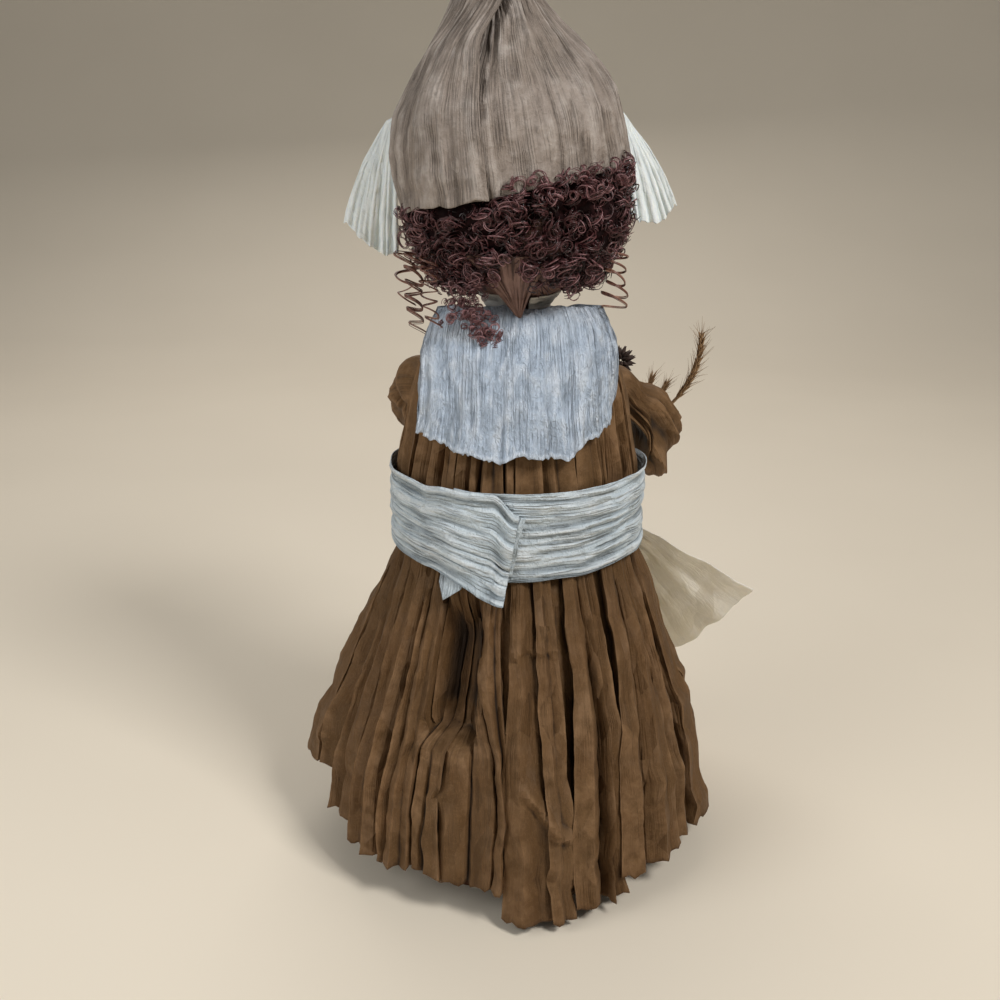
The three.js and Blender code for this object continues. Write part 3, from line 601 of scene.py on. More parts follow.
@dataclass(frozen=True)
class HairFinish:
    """Glossy curls with strands of several tones."""

    name: str
    deep: Colour
    tone: Colour
    light: Colour
    roughness: float = 0.34
    shine: float = 0.6

    def material(self) -> Material:
        """The finish as a material."""
        material, shader, surface = new_material(self.name)
        streak = shader.noise(shader.here(), 420.0, 2.0, 0.5)
        share = shader.math("ADD", shader.marked("strand"), shader.math("SUBTRACT", streak, 0.5), clamp=True)
        tone = shader.mix(shader.spread(share, 0.0, 0.55), linear(self.deep), linear(self.tone))
        tone = shader.mix(shader.spread(share, 0.55, 1.0), tone, linear(self.light))
        rough = shader.spread(streak, 0.3, 0.7, (self.roughness - 0.08, self.roughness + 0.12))
        shader.settle(surface, {"Base Color": tone, "Roughness": rough, "Specular IOR Level": self.shine})
        return material


@dataclass(frozen=True)
class FibreFinish:
    """A dry or hard stuff with fibres, beads or brushing that run one way."""

    name: str
    tone: Colour
    other: Colour
    scale: Place
    relief: float = 0.1
    roughness: float = 0.8
    metallic: float = 0.0

    def material(self) -> Material:
        """The finish as a material."""
        material, shader, surface = new_material(self.name)
        fibre = shader.noise(shader.vectors("MULTIPLY", shader.here(), self.scale)[0], 1.0, 4.0, 0.6)
        tone = shader.mix(shader.spread(fibre, 0.32, 0.68), linear(self.tone), linear(self.other))
        rough = shader.spread(fibre, 0.3, 0.7, (self.roughness - 0.1, self.roughness + 0.1))
        shader.settle(surface, {"Base Color": tone, "Roughness": rough, "Metallic": self.metallic})
        shader.bump(surface, fibre, self.relief * MM)
        return material


class Wardrobe:
    """Every finish of the doll, as materials."""

    def __init__(self) -> None:
        """Make the materials."""
        shared = Effects()
        brown = dict(ridge=1.1, run=26.0, crease=7.0, relief=0.3, ridge_shade=0.07, dent=1.3, mottle=0.0, tilt=0.36)
        self.brown = CrepeFinish(
            "brown_crepe", (94, 66, 36), (90, 64, 34), (22, 13, 7), (152, 118, 84), **brown
        ).material(shared)
        self.cap = CrepeFinish(
            "cap_crepe", (144, 132, 123), (137, 124, 113), (56, 47, 40), (192, 182, 174),
            ridge=1.15, run=34.0, crease=7.0, relief=0.8,
            ridge_shade=0.66, valley=0.28, dent=1.5, mottle=0.04, tilt=0.22,
        ).material(shared)
        # The white, strip and bonnet papers are tinted bluish: painted cool light falling from the camera side,
        # over the paper's own white.
        self.white = CrepeFinish(
            "white_crepe", (183, 197, 214), (177, 190, 206), (74, 84, 97), (224, 230, 238),
            ridge=1.4, run=13.0, crease=5.0, relief=1.2,
            ridge_shade=0.3, valley=0.24, dent=2.4, mottle=0.03, tilt=0.5,
        ).material(shared)
        self.strip = CrepeFinish(
            "white_strip", (195, 208, 216), (189, 199, 205), (80, 90, 98), (232, 236, 238),
            ridge=1.4, run=34.0, crease=7.0, relief=1.3,
            ridge_shade=0.44, valley=0.5, dent=1.6, mottle=0.04, tilt=0.3,
        ).material(shared)
        self.veil = CrepeFinish(
            "bonnet_paper", (226, 233, 230), (219, 227, 224), (146, 156, 162), (243, 243, 237),
            ridge=1.9, run=34.0, crease=9.0, relief=0.8, ridge_shade=0.36, valley=0.3, mottle=0.03, through=0.5,
        ).material(shared)
        self.band = CrepeFinish(
            "neck_paper", (232, 228, 220), (226, 220, 210), (128, 124, 118), (244, 242, 236),
            ridge=1.6, run=20.0, crease=8.0, relief=0.6, ridge_shade=0.3, valley=0.35,
        ).material(shared)
        self.apron = CrepeFinish(
            "apron_paper", (228, 220, 208), (220, 211, 196), (192, 182, 164), (240, 232, 220),
            ridge=1.6, run=12.0, relief=0.3, ridge_shade=0.12, valley=0.3, through=0.7,
        ).material(shared)
        self.dark = CrepeFinish(
            "dark_crepe", (84, 54, 32), (74, 46, 28), (34, 20, 12), (110, 76, 50), **brown
        ).material(shared)
        self.skin = CrepeFinish(
            "skin_paper", (126, 96, 86), (117, 88, 77), (62, 43, 37), (152, 123, 112),
            ridge=1.4, run=9.0, relief=0.3, roughness=0.66,
        ).material(shared)
        self.hair = HairFinish("curly_hair", (30, 13, 14), (92, 50, 52), (170, 128, 130)).material()
        self.ringlet = HairFinish("loose_hair", (52, 28, 24), (124, 82, 68), (182, 138, 116)).material()
        self.mat = HairFinish("hair_mat", (24, 11, 12), (60, 32, 33), (80, 46, 46), 0.86, 0.1).material()
        self.straw = FibreFinish("dry_straw", (178, 148, 112), (128, 98, 68), (900.0, 900.0, 60.0)).material()
        self.flower = FibreFinish("dried_flower", (62, 42, 32), (36, 24, 20), (500.0, 500.0, 200.0)).material()
        self.foam = FibreFinish(
            "white_foam", (226, 230, 226), (204, 210, 204), (420.0, 420.0, 420.0), 0.5, 0.9
        ).material()
        self.wood = FibreFinish(
            "dowel_wood", (196, 156, 108), (158, 116, 72), (700.0, 700.0, 24.0), 0.1, 0.62
        ).material()
        self.wire = FibreFinish(
            "wire", (150, 146, 140), (110, 106, 102), (90.0, 2600.0, 2600.0), 0.02, 0.34, 1.0
        ).material()
        self.string = FibreFinish(
            "string", (198, 184, 156), (160, 144, 116), (1500.0, 1500.0, 1500.0), 0.15, 0.9
        ).material()


# Meshes


def new_object(name: str, points: Array, faces: Array, material: Material) -> Piece:
    """An object from points in millimetres.

    Args:
        name: the piece's name.
        points: its points.
        faces: its faces, as rows of point numbers.
        material: its finish.

    Returns:
        The object, in metres.
    """
    mesh = bpy.data.meshes.new(name)
    mesh.from_pydata((points.reshape(-1, 3) * MM).tolist(), [], faces.tolist())
    mesh.polygons.foreach_set("use_smooth", np.ones(len(mesh.polygons), bool))
    mesh.materials.append(material)
    made = bpy.data.objects.new(name, mesh)
    bpy.context.collection.objects.link(made)
    return made


def quads(rows: int, columns: int, ring: bool = False) -> tuple[Array, Array, Array]:
    """Faces of a sheet's grid of points.

    Args:
        rows: points down the sheet.
        columns: points across it.
        ring: whether the last column meets the first.

    Returns:
        The row and the column of each face, and its four points.
    """
    r, c = np.meshgrid(np.arange(rows - 1), np.arange(columns if ring else columns - 1), indexing="ij")
    following = (c + 1) % columns
    corners = ((r, c), (r + 1, c), (r + 1, following), (r, following))
    return r, c, np.stack([row * columns + column for row, column in corners], axis=-1).reshape(-1, 4)


def mark(made: Piece, name: str, values: Array) -> None:
    """Keep a value for each point of a mesh, for its finish to read."""
    made.data.attributes.new(name, "FLOAT", "POINT").data.foreach_set("value", values.astype(np.float32).ravel())


@dataclass
class Paper:
    """A sheet of paper as rows of points in millimetres, from its top edge down."""

    points: Array
    ring: bool = False
    grain: Grain = Grain.UPRIGHT
    thick: float = 0.4
    fold_deep: float = 1.6
    crisp: float = 180.0
    # rim: bottom rows marked as crests, which paints a highlight along that edge.
    rim: int = 0
    # Shifts the fold mark point by point, and with it the painted shade and highlight of the folds.
    scuff_and_light: Array | float = 0.0

    def steps(self, axis: int) -> Array:
        """Lengths from each point to the next along an axis."""
        grid = self.points
        if self.ring and axis == 1:
            grid = np.concatenate([grid, grid[:, :1]], axis=1)
        return np.linalg.norm(np.diff(grid, axis=axis), axis=2)

    def flat(self) -> Array:
        """Each point's place on the flat sheet, across the grain and along it, in metres."""
        across, down = np.meshgrid(running(self.steps(1).max(axis=0)), running(self.steps(0).mean(axis=1)))
        pair = (across, down) if self.grain is Grain.UPRIGHT else (down, across)
        return np.stack(pair, axis=-1) * MM

    def normals(self) -> Array:
        """Directions away from the middle of the sheet's own body, at each point."""
        grid = self.points
        if self.ring:
            grid = np.concatenate([grid[:, -1:], grid, grid[:, :1]], axis=1)
        across = np.gradient(grid, axis=1)
        across = across[:, 1:-1] if self.ring else across
        facing = unit(np.cross(np.gradient(self.points, axis=0), across))
        out = self.points - self.points.reshape(-1, 3).mean(axis=0)
        return facing * np.sign(np.sum(facing * out))

    def push(self, amount: Array) -> Paper:
        """Move each point along its normal by an amount in millimetres."""
        self.points = self.points + self.normals() * np.asarray(amount)[..., None]
        return self

    def crumple(self, seed: int, size: tuple[float, float], amount: Array | float) -> Paper:
        """Crumple the sheet.

        Args:
            seed: start of the random row.
            size: length of a dent across the columns and down the rows, in millimetres.
            amount: how deep the dents are, all over or at each point.

        Returns:
            The sheet itself.
        """
        wide, tall = self.steps(1).mean(axis=0).sum(), self.steps(0).mean(axis=1).sum()
        count = max(2, round(wide / size[0]))
        u, v = grid_of(*self.points.shape[:2], self.ring)
        dents = Noise(seed).crumpled(u * count, v * tall / size[1], count if self.ring else None)
        return self.push(amount * dents / 1.75)

    def facet(self, seed: int, size: tuple[float, float], amount: Array | float) -> Paper:
        """Break the sheet into dents that meet in sharp ridges.

        Args:
            seed: start of the random row.
            size: width and height of a dent, in millimetres.
            amount: how far the ridges stand out, all over or at each point.

        Returns:
            The sheet itself.
        """
        wide, tall = self.steps(1).mean(axis=0).sum() / size[0], self.steps(0).mean(axis=1).sum() / size[1]
        u, v = grid_of(*self.points.shape[:2], self.ring)
        spots = np.random.default_rng(seed).uniform((0, 0), (wide, tall), (max(3, int(wide * tall)), 2))
        near = np.full(u.shape, 9.0)
        for shift in (-wide, 0.0, wide) if self.ring else (0.0,):
            for x, y in spots:
                near = np.minimum(near, np.hypot(u * wide - x - shift, v * tall - y))
        return self.push(amount * (near - 0.45))

    def folds(self, reach: float, deep: float) -> Array:
        """How far each point stands out from the sheet round it.

        Args:
            reach: how far round it the sheet counts, in millimetres.
            deep: how far out a crest stands in full.

        Returns:
            From 0 in a valley to 1 on a crest.
        """
        level = self.points
        for axis in (1, 0):
            step = float(self.steps(axis).mean())
            count = min(int(round(reach / max(step, 0.05))), self.points.shape[axis] // 3)
            level = blurred(level, max(count, 1), axis, self.ring)
        proud = np.sum((self.points - level) * self.normals(), axis=2)
        fold = np.clip(0.5 + 0.5 * proud / deep, 0, 1)
        # The bottom rim rows count as crests: a painted highlight along the edge.
        fold[len(fold) - self.rim :] = 1
        return fold

    def build(self, name: str, material: Material) -> Piece:
        """The sheet as an object with a paper's thickness.

        Args:
            name: the piece's name.
            material: its finish.

        Returns:
            The object.
        """
        r, c, faces = quads(*self.points.shape[:2], self.ring)
        made = new_object(name, self.points, faces, material)
        flat = self.flat()
        places = np.stack([flat[r, c], flat[r + 1, c], flat[r + 1, c + 1], flat[r, c + 1]], axis=2)
        made.data.uv_layers.new(name="UVMap").data.foreach_set("uv", places.astype(np.float32).ravel())
        # fold and edge drive the painted shade in valleys and the scuffing plus painted highlight on crests.
        mark(made, "fold", np.clip(self.folds(7.0, self.fold_deep) + self.scuff_and_light, 0, 1))
        mark(made, "edge", self.folds(1.6, 0.3 * self.fold_deep))
        made.data.set_sharp_from_angle(angle=math.radians(self.crisp))
        thickness = made.modifiers.new("paper", "SOLIDIFY")
        thickness.thickness = self.thick * MM
        thickness.offset = 0
        return made


def tubes(name: str, paths: Array, radii: Array, sides: int, material: Material, strand: Array) -> Piece:
    """Round strands along many paths, as one object.

    Args:
        name: the piece's name.
        paths: for each strand its points, in millimetres.
        radii: for each strand its radius at each point.
        sides: corners of a strand's section.
        material: the finish.
        strand: a number for each strand, for the finish to read.

    Returns:
        The object.
    """
    count, long = paths.shape[:2]
    tangent = unit(np.gradient(paths, axis=1))
    start = np.where(np.abs(tangent[:, 0, 2:3]) < 0.9, [0.0, 0.0, 1.0], [1.0, 0.0, 0.0])
    side, other = carried(tangent, start)
    turn = 2 * math.pi * np.arange(sides) / sides
    ring = side[:, :, None] * np.cos(turn)[:, None] + other[:, :, None] * np.sin(turn)[:, None]
    points = paths[:, :, None] + ring * np.broadcast_to(radii, (count, long))[:, :, None, None]
    n, k, s = np.meshgrid(np.arange(count), np.arange(long - 1), np.arange(sides), indexing="ij")
    after = (s + 1) % sides
    first, second = (n * long + k) * sides, (n * long + k + 1) * sides
    faces = np.stack([first + s, first + after, second + after, second + s], axis=-1).reshape(-1, 4)
    made = new_object(name, points, faces, material)
    mark(made, "strand", np.repeat(strand, long * sides))
    return made


def dress(made: Piece, slot: str, body: str, *nodes: str) -> Piece:
    """Set a piece on its body in place of the solids that it stands for.

    Args:
        made: the piece.
        slot: not used.
        body: the body that it moves with.
        nodes: the solids that it replaces.

    Returns:
        The piece.
    """
    if nodes:
        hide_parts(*nodes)
    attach(made, body)
    log.info("%s rides on %s, %d faces", made.name, body, len(made.data.polygons))
    return made


def dress_across(made: Piece, slot: str, bodies: tuple[str, str], ends: tuple[Array, Array], *nodes: str) -> None:
    """Leave a soft piece that spans a joint where it is, with its transform applied, in place of the solids that it
    stands for.

    Args:
        made: the piece.
        slot: not used.
        bodies: the body that it starts on and the one that it ends on.
        ends: not used.
        nodes: the solids that it replaces.
    """
    if nodes:
        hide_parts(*nodes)
    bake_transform(made)
    log.info("%s bends from %s to %s, %d faces", made.name, *bodies, len(made.data.polygons))


# Gathered layers


@dataclass(frozen=True)
class Crease:
    """A fold line of a gathered sheet.

    It runs at an angle from the doll's left, by way of its back. The sheet goes in by deep at the hem, and laps
    over itself by tuck degrees: the panel before lies on top if tuck is above zero, the panel after if below.
    hem is the height of the panel that starts here, and fade the share of the depth that is left at the hem.
    crest is how far that panel's middle stands out, or lies in if below zero, and swing how far the line moves
    over towards the hem.
    """

    at: float
    deep: float
    tuck: float = 0.0
    hem: float = 6.0
    fade: float = 1.0
    crest: float | None = None
    swing: float = 0.0


def seeded_creases(seed: int, start: float, stop: float, gap: float, deep: float, hem: float) -> list[Crease]:
    """Creases at uneven distances over a stretch that has none of its own.

    Args:
        seed: start of the random row.
        start: first angle.
        stop: angle that they stay below.
        gap: middle distance between them, in degrees.
        deep: middle depth.
        hem: middle height of the hem.

    Returns:
        The creases in order.
    """
    dice = np.random.default_rng(seed)
    made = []
    at = start
    while at < stop - 0.4 * gap:
        tuck = dice.choice([-2.5, -1.5, 1.5, 2.5])
        made.append(Crease(at, deep * dice.uniform(0.6, 1.4), tuck, hem + dice.uniform(-2.5, 3.5)))
        at += gap * dice.uniform(0.65, 1.35)
    return made


def with_pleats(
    creases: Sequence[Crease], seed: int, gap: float, deep: float, bare: Sequence[tuple[float, float]] = ()
) -> list[Crease]:
    """Creases with narrow pleats set between them, which die out towards the hem.

    Args:
        creases: the main creases, in order.
        seed: start of the random row.
        gap: distance between pleats, in degrees.
        deep: middle depth of a pleat.
        bare: spans without pleats, from one angle to another.

    Returns:
        All the creases, in order.
    """
    dice = np.random.default_rng(seed)
    made = []
    for crease, after in zip(creases, [*creases[1:], creases[0]]):
        made.append(crease)
        span = (after.at - crease.at) % 360
        sunk = crease.crest is not None and crease.crest < 0
        sunk = sunk or any(low <= crease.at <= high for low, high in bare)
        count = 0 if sunk else max(0, round(span / gap) - 1)
        for k in range(count):
            at = crease.at + span * (k + 1 + dice.uniform(-0.22, 0.22)) / (count + 1)
            size, tuck = deep * dice.uniform(0.6, 1.4), dice.choice([-1.0, 0.0, 0.0, 1.0])
            swing = blend_of(crease.swing, after.swing, (k + 1) / (count + 1))
            made.append(Crease(at, size, tuck, crease.hem, dice.uniform(0.3, 1.0), crease.crest, swing))
    return made


@dataclass
class Gathers:
    """A sheet gathered round the body: fold lines that wander, panels that lap and a hem in steps."""

    creases: Sequence[Crease]
    top: float
    outline: Sequence[Sequence[float]]
    deep_from: float
    deep_to: float
    least: float = 0.2
    rows: int = 52
    columns: int = 880
    seed: int = 1
    wander: float = 1.6
    ragged: float = 1.0
    minor: float = 1.1
    kink: float = 0.0
    crest: float = 1.0
    gap: float = 1.3
    soft: float = 7.0
    fold_deep: float = 3.4

    def knots(self, down: Array) -> tuple[Array, Array, Array]:
        """Corner points of the folds in every row.

        Args:
            down: for each row how far the folds have opened, from 0 to 1.

        Returns:
            Angles in degrees, steps out from the body in millimetres, and the hem's heights.
        """
        dice = np.random.default_rng(self.seed)
        angles, steps, hems = [], [], []
        places = np.linspace(0, 1, len(down))
        lines = []
        for crease in self.creases:
            drift = np.interp(places, np.linspace(0, 1, 6), dice.normal(0, self.wander, 6))
            bends = [
                dice.choice([-1, 1]) * np.maximum(0, 1 - np.abs(places - at) / dice.uniform(0.03, 0.08))
                for at in dice.uniform(0.25, 0.98, 2)
            ]
            bent = self.kink * np.sum(bends, axis=0)
            at = crease.at + crease.swing * ease(places, 0.3, 0.8)
            lines.append((at + (drift + 0.5 * bent) * blend_of(0.3, 1.0, down), bent * down))
        before = self.creases[-1].hem
        for k, crease in enumerate(self.creases):
            at, bent = lines[k]
            vary = np.interp(places, np.linspace(0, 1, 6), dice.uniform(0.7, 1.2, 6))
            open_by = blend_of(self.least, 1.0, down) * blend_of(1.0, crease.fade, down)
            lap, deep = abs(crease.tuck), crease.deep * open_by * vary
            lip = 1.2 * open_by + bent
            half = blend_of(0.5, 1.0, down)
            if crease.tuck > 0:
                turn, out = (lap, 0.1 * lap, -0.6 * lap), (lip, -0.5 * deep, -deep)
            elif crease.tuck < 0:
                turn, out = (0.6 * lap, -0.1 * lap, -lap), (-deep, -0.5 * deep, lip)
            else:
                gap = self.gap * max(1.0, crease.deep / 8)
                turn, out = (-gap, 0.0, gap), (-0.3 * deep, -deep, -0.3 * deep)
            after = lines[(k + 1) % len(lines)][0] + 360 * (k + 1 == len(lines))
            own = self.crest * dice.uniform(0.3, 1.3)
            high = (own if crease.crest is None else crease.crest) * open_by * vary + 0.7 * bent
            dip = high * (1.0 if crease.crest is not None and crease.crest < 0 else dice.uniform(-0.5, 0.4))
            angles += [at + half * t for t in turn]
            angles += [blend_of(at, after, dice.uniform(*ends)) for ends in ((0.28, 0.5), (0.6, 0.82))]
            steps += [np.broadcast_to(o, at.shape) for o in (*out, high, dip)]
            hems += [before, 0.5 * (before + crease.hem), crease.hem, crease.hem, crease.hem]
            before = crease.hem
        return np.stack(angles, axis=1), np.stack(steps, axis=1), np.array(hems)

    def columns_at(self, place: Array) -> Array:
        """Places of the columns along the sheet, one on every fold line and the others between them."""
        step = place[-1] / self.columns
        spans = zip(place[:-1], place[1:])
        parts = [np.linspace(a, b, max(1, round((b - a) / step)), endpoint=False) for a, b in spans]
        return np.concatenate(parts)

    def paper(self, flare: Callable[[Array, Array], Array] | None = None) -> Paper:
        """The gathered sheet.

        Args:
            flare: gives how far the sheet stands out at angles and heights.

        Returns:
            The sheet.
        """
        v = np.linspace(0, 1, self.rows)
        floor = float(np.mean([crease.hem for crease in self.creases]))
        level = blend_of(self.top, floor, v)
        down = np.clip((self.deep_from - level) / (self.deep_from - self.deep_to), 0, 1) ** 0.8
        angle, out, hem = self.knots(down)
        angle = np.concatenate([angle, angle[:, :1] + 360], axis=1)
        out = np.concatenate([out, out[:, :1]], axis=1)
        hem = np.concatenate([hem, hem[:1]])
        last = np.argmax(down)
        radius = between(self.outline, np.array([level[last]]))[0][0]
        stretch = np.hypot(np.radians(np.diff(angle[last])) * radius, np.diff(out[last]))
        place = running(stretch)
        at = self.columns_at(place)
        k = np.clip(np.searchsorted(place, at, side="right") - 1, 0, len(place) - 2)
        share = (at - place[k]) / np.maximum(stretch[k], 1e-6)
        angle = blend_of(angle[:, k], angle[:, k + 1], share)
        out = blend_of(out[:, k], out[:, k + 1], share)
        hem = blend_of(hem[k], hem[k + 1], share)
        rough = Noise(self.seed + 40)
        turns = round(place[-1] / 6)
        u = at / place[-1] * turns
        opened = blend_of(0.35, 1.0, down)[:, None]
        out = out + self.minor * opened * rough.creased(u[None], 2.2 * v[:, None], turns)
        hem = hem + self.ragged * (rough.creased(1.7 * u, 3.0) + 0.5 * rough.creased(4.1 * u, 9.0))
        z = blend_of(self.top, hem[None], v[:, None])
        sizes = between(self.outline, z, self.soft)
        x, y = sizes[0], sizes[1]
        middle = sizes[2] if len(sizes) > 2 else 0.0
        turn = np.radians(angle)
        if flare is not None:
            out = out + flare(angle, z)
        return Paper(oval(x + out, y + out, turn, z, middle), ring=True, crisp=13.0, fold_deep=self.fold_deep)


@dataclass
class Skirt:
    """The brown skirt and the dark layer under it."""

    top: float = 145.0
    sash_low: float = WAIST_LOW
    outline: tuple = ((0, 79, 79), (45, 74.3, 74.3), (100, 55.9, 54.7), (127, 46.8, 41.8), (145, 46, 41))
    flares: tuple = ((-6, 18, 16), (97, 11, 5))
    hollow: tuple = (65.5, 9.6, 67.0, 14.0)
    patch: tuple = (96.5, 9.5, 102.5, 1.8)
    bend: tuple = (91.5, 0.55, 36.0, 58.0, 4.5)
    under_low: float = 0.8
    under_high: float = 118.0
    cone_radius: float = 57.0
    cone_apex: float = 265.0

    BACK = (
        Crease(-24, 8, -3, 27),
        Crease(-8, 6, 0, 29),
        Crease(4, 5, 1.5, 31),
        Crease(16, 14, 1.5, 18),
        Crease(29, 10, 0, 14, crest=4),
        Crease(37, 7, 1.5, 14),
        Crease(45, 13, 0, 15, crest=4.5),
        Crease(50, 7, -1, 15, crest=4.5),
        Crease(55, 15, 1.2, 16, crest=-0.5),
        Crease(61.5, 3, 0, 16, crest=0.6),
        Crease(66, 2.4, 0.8, 15, crest=0.3),
        Crease(71, 3, 0, 15, crest=0.5, swing=4),
        Crease(76, 12, -1.5, 15, crest=5, swing=9),
        Crease(82, 11, 1.5, 14, crest=-6, swing=4.5),
        Crease(88, 10, -2, 4, crest=4, swing=-1),
        Crease(97, 7, -1, 4, 0.3, crest=5, swing=2),
        Crease(103, 13, 2.5, 7, 0.55, crest=-11),
        Crease(112, 12, -3, 6, crest=5, swing=-3),
        Crease(118, 7, 0, 6, crest=4, swing=-3),
        Crease(124, 14, 3, 10, 0.8, crest=-12, swing=-4),
        Crease(133, 12, -3, 14, crest=5, swing=-9),
        Crease(141, 9, 0, 13, crest=4, swing=-9),
        Crease(150, 10, 1.5, 15, swing=-7),
        Crease(165, 9, -2, 12, swing=-4),
        Crease(184, 8, -2, 8),
        Crease(196, 7, 2, 5),
    )

    def flare(self, angle: Array, z: Array) -> Array:
        """How far the lifted panels stand out."""
        down = np.clip((self.sash_low - z) / self.sash_low, 0, 1) ** 0.8
        most = np.zeros_like(z)
        for at, half, out in self.flares:
            turn = (angle - at + 180) % 360 - 180
            most = np.maximum(most, out * down * np.maximum(0, 1 - (turn / half) ** 2))
        at, half, low, deep = self.hollow
        inside = np.maximum(0, 1 - ((angle - at) / half) ** 8)
        most = most - deep * ease(z, low - 2.5, low + 2.5) * (1 - ease(z, 100, 124)) * inside
        at, slope, low, high, out = self.bend
        ridge = np.maximum(0, 1 - np.abs(angle - at - slope * (high - z)) / 3.2)
        most = most + out * ridge * ease(z, low - 2, low + 4) * (1 - ease(z, high - 4, high + 2))
        at, half, low, out = self.patch
        low = low + 1.2 * np.sin(0.9 * angle)
        inside = (1 - ease(np.abs(angle - at), half - 0.6, half + 0.4)) * (1 - ease(z, 112, 119))
        return most + out * inside * ease(z, low - 1.0, low + 1.0)

    def hollow_light_and_scuff(self, points: Array) -> Array:
        """How far the fold mark is shifted in the hollow: less painted shade on its ledge, more painted shade on
        its wall, and a pale patch at its foot, scuffing plus a painted highlight.
        """
        degrees = np.degrees(np.arctan2(points[..., 1], points[..., 0]))
        at, half, low, _ = self.hollow
        inside = 1 - ease(np.abs(degrees - at), half - 2, half + 1)
        z = points[..., 2]
        foot = ease(z, low - 7, low - 4) * (1 - ease(z, low + 5, low + 9))
        foot = foot * (1 - ease(np.abs(degrees - at + 3), 4, 6))
        ledge = ease(z, low - 8, low - 3) * (1 - ease(z, low + 6, low + 12))
        wall = ease(z, low + 6, low + 14) * (1 - ease(z, 104, 118))
        # ledge and foot take away painted shade and add paler crest colour; wall adds painted shade.
        return inside * (0.3 * ledge - 0.27 * wall + 0.6 * foot)

    def build(self, wardrobe: Wardrobe) -> None:
        """Make both layers.

        Args:
            wardrobe: the finishes.
        """
        front = seeded_creases(11, 208, 334, 11.5, 6, 5)
        creases = with_pleats([*self.BACK, *front], 12, 6.5, 4.6, ((-30, 6), (148, 200)))
        folds = Gathers(
            creases, self.top, self.outline, self.sash_low, 4.0, least=0.36, rows=76, columns=600, seed=5,
            wander=0.75, minor=0.3, kink=2.4, crest=3.8, gap=1.1,
        )
        sheet = folds.paper(self.flare)
        free = 1 - ease(sheet.points[..., 2], 112, 126)
        sheet.facet(21, (10, 14), 0.9 * free).facet(22, (4.5, 5), 0.45 * free)
        sideways = np.abs(np.degrees(np.arctan2(sheet.points[..., 1], sheet.points[..., 0])) - 80)
        sheet.facet(23, (15, 19), 1.5 * free * ease(sideways, 58, 70))
        # Shifts the painted shade and highlight of the folds in the hollow.
        sheet.scuff_and_light = self.hollow_light_and_scuff(sheet.points)
        made = dress(sheet.build("skirt_folds", wardrobe.brown), "brown_paper", "torso", "skirt")
        self.under(wardrobe)

    def under(self, wardrobe: Wardrobe) -> None:
        """Make the dark layer wound on the cone."""
        u, v = grid_of(26, 260, True)
        z = blend_of(self.under_high, self.under_low, v)
        radius = self.cone_radius * (1 - z / self.cone_apex) + 1.2
        sheet = Paper(oval(radius, radius, 2 * math.pi * u, z), ring=True)
        ripple = Noise(31).creased(u * 64, 2 * v, 64)
        sheet.push(0.5 * ripple)
        made = dress(sheet.build("underskirt_layer", wardrobe.dark), "dark_paper", "torso", "underskirt")


@dataclass
class Bodice:
    """The pleated bodice between the waist and the neck."""

    outline: tuple = (
        (145.4, 46, 41, 0),
        (162, 46, 40, 0.5),
        (176, 43, 33.5, 4),
        (190, 41, 28, 7),
        (202, 37.5, 23.5, 7),
        (210, 34, 20, 5),
        (216, 29, 16.5, 3),
        (220, 20, 13, 1),
    )
    BACK = (
        Crease(4, 4, 1.2),
        Crease(16, 6, -1.2),
        Crease(26, 5, 1.5),
        Crease(39, 8, 0),
        Crease(50, 8, 0),
        Crease(57, 7, 1.5),
        Crease(65, 8, 0),
        Crease(70, 8, 0),
        Crease(81.5, 9, 1.5),
        Crease(90, 4, -1.2),
        Crease(99, 4, 1.2),
        Crease(114, 10, 2.5, crest=-6),
        Crease(119, 7, -1.5),
        Crease(130, 5, 1.5),
        Crease(141, 8, 0),
        Crease(153, 8, 0),
        Crease(165, 5, -1.5),
        Crease(182, 4, 1.5),
    )

    def build(self, wardrobe: Wardrobe) -> None:
        """Make the bodice.

        Args:
            wardrobe: the finishes.
        """
        front = seeded_creases(17, 196, 356, 12, 4.5, 0)
        creases = [replace(crease, hem=146) for crease in (*self.BACK, *front)]
        folds = Gathers(
            creases, 219.6, self.outline, 214.0, 172.0, least=0.1, rows=44, columns=640, seed=8,
            wander=0.5, ragged=0.2, minor=0.3, soft=3.0, gap=0.7, crest=1.6, fold_deep=2.2,
        )
        sheet = folds.paper().facet(23, (10, 14), 0.6)
        made = dress(sheet.build("bodice_pleats", wardrobe.brown), "brown_paper", "torso", "bodice")


# White paper


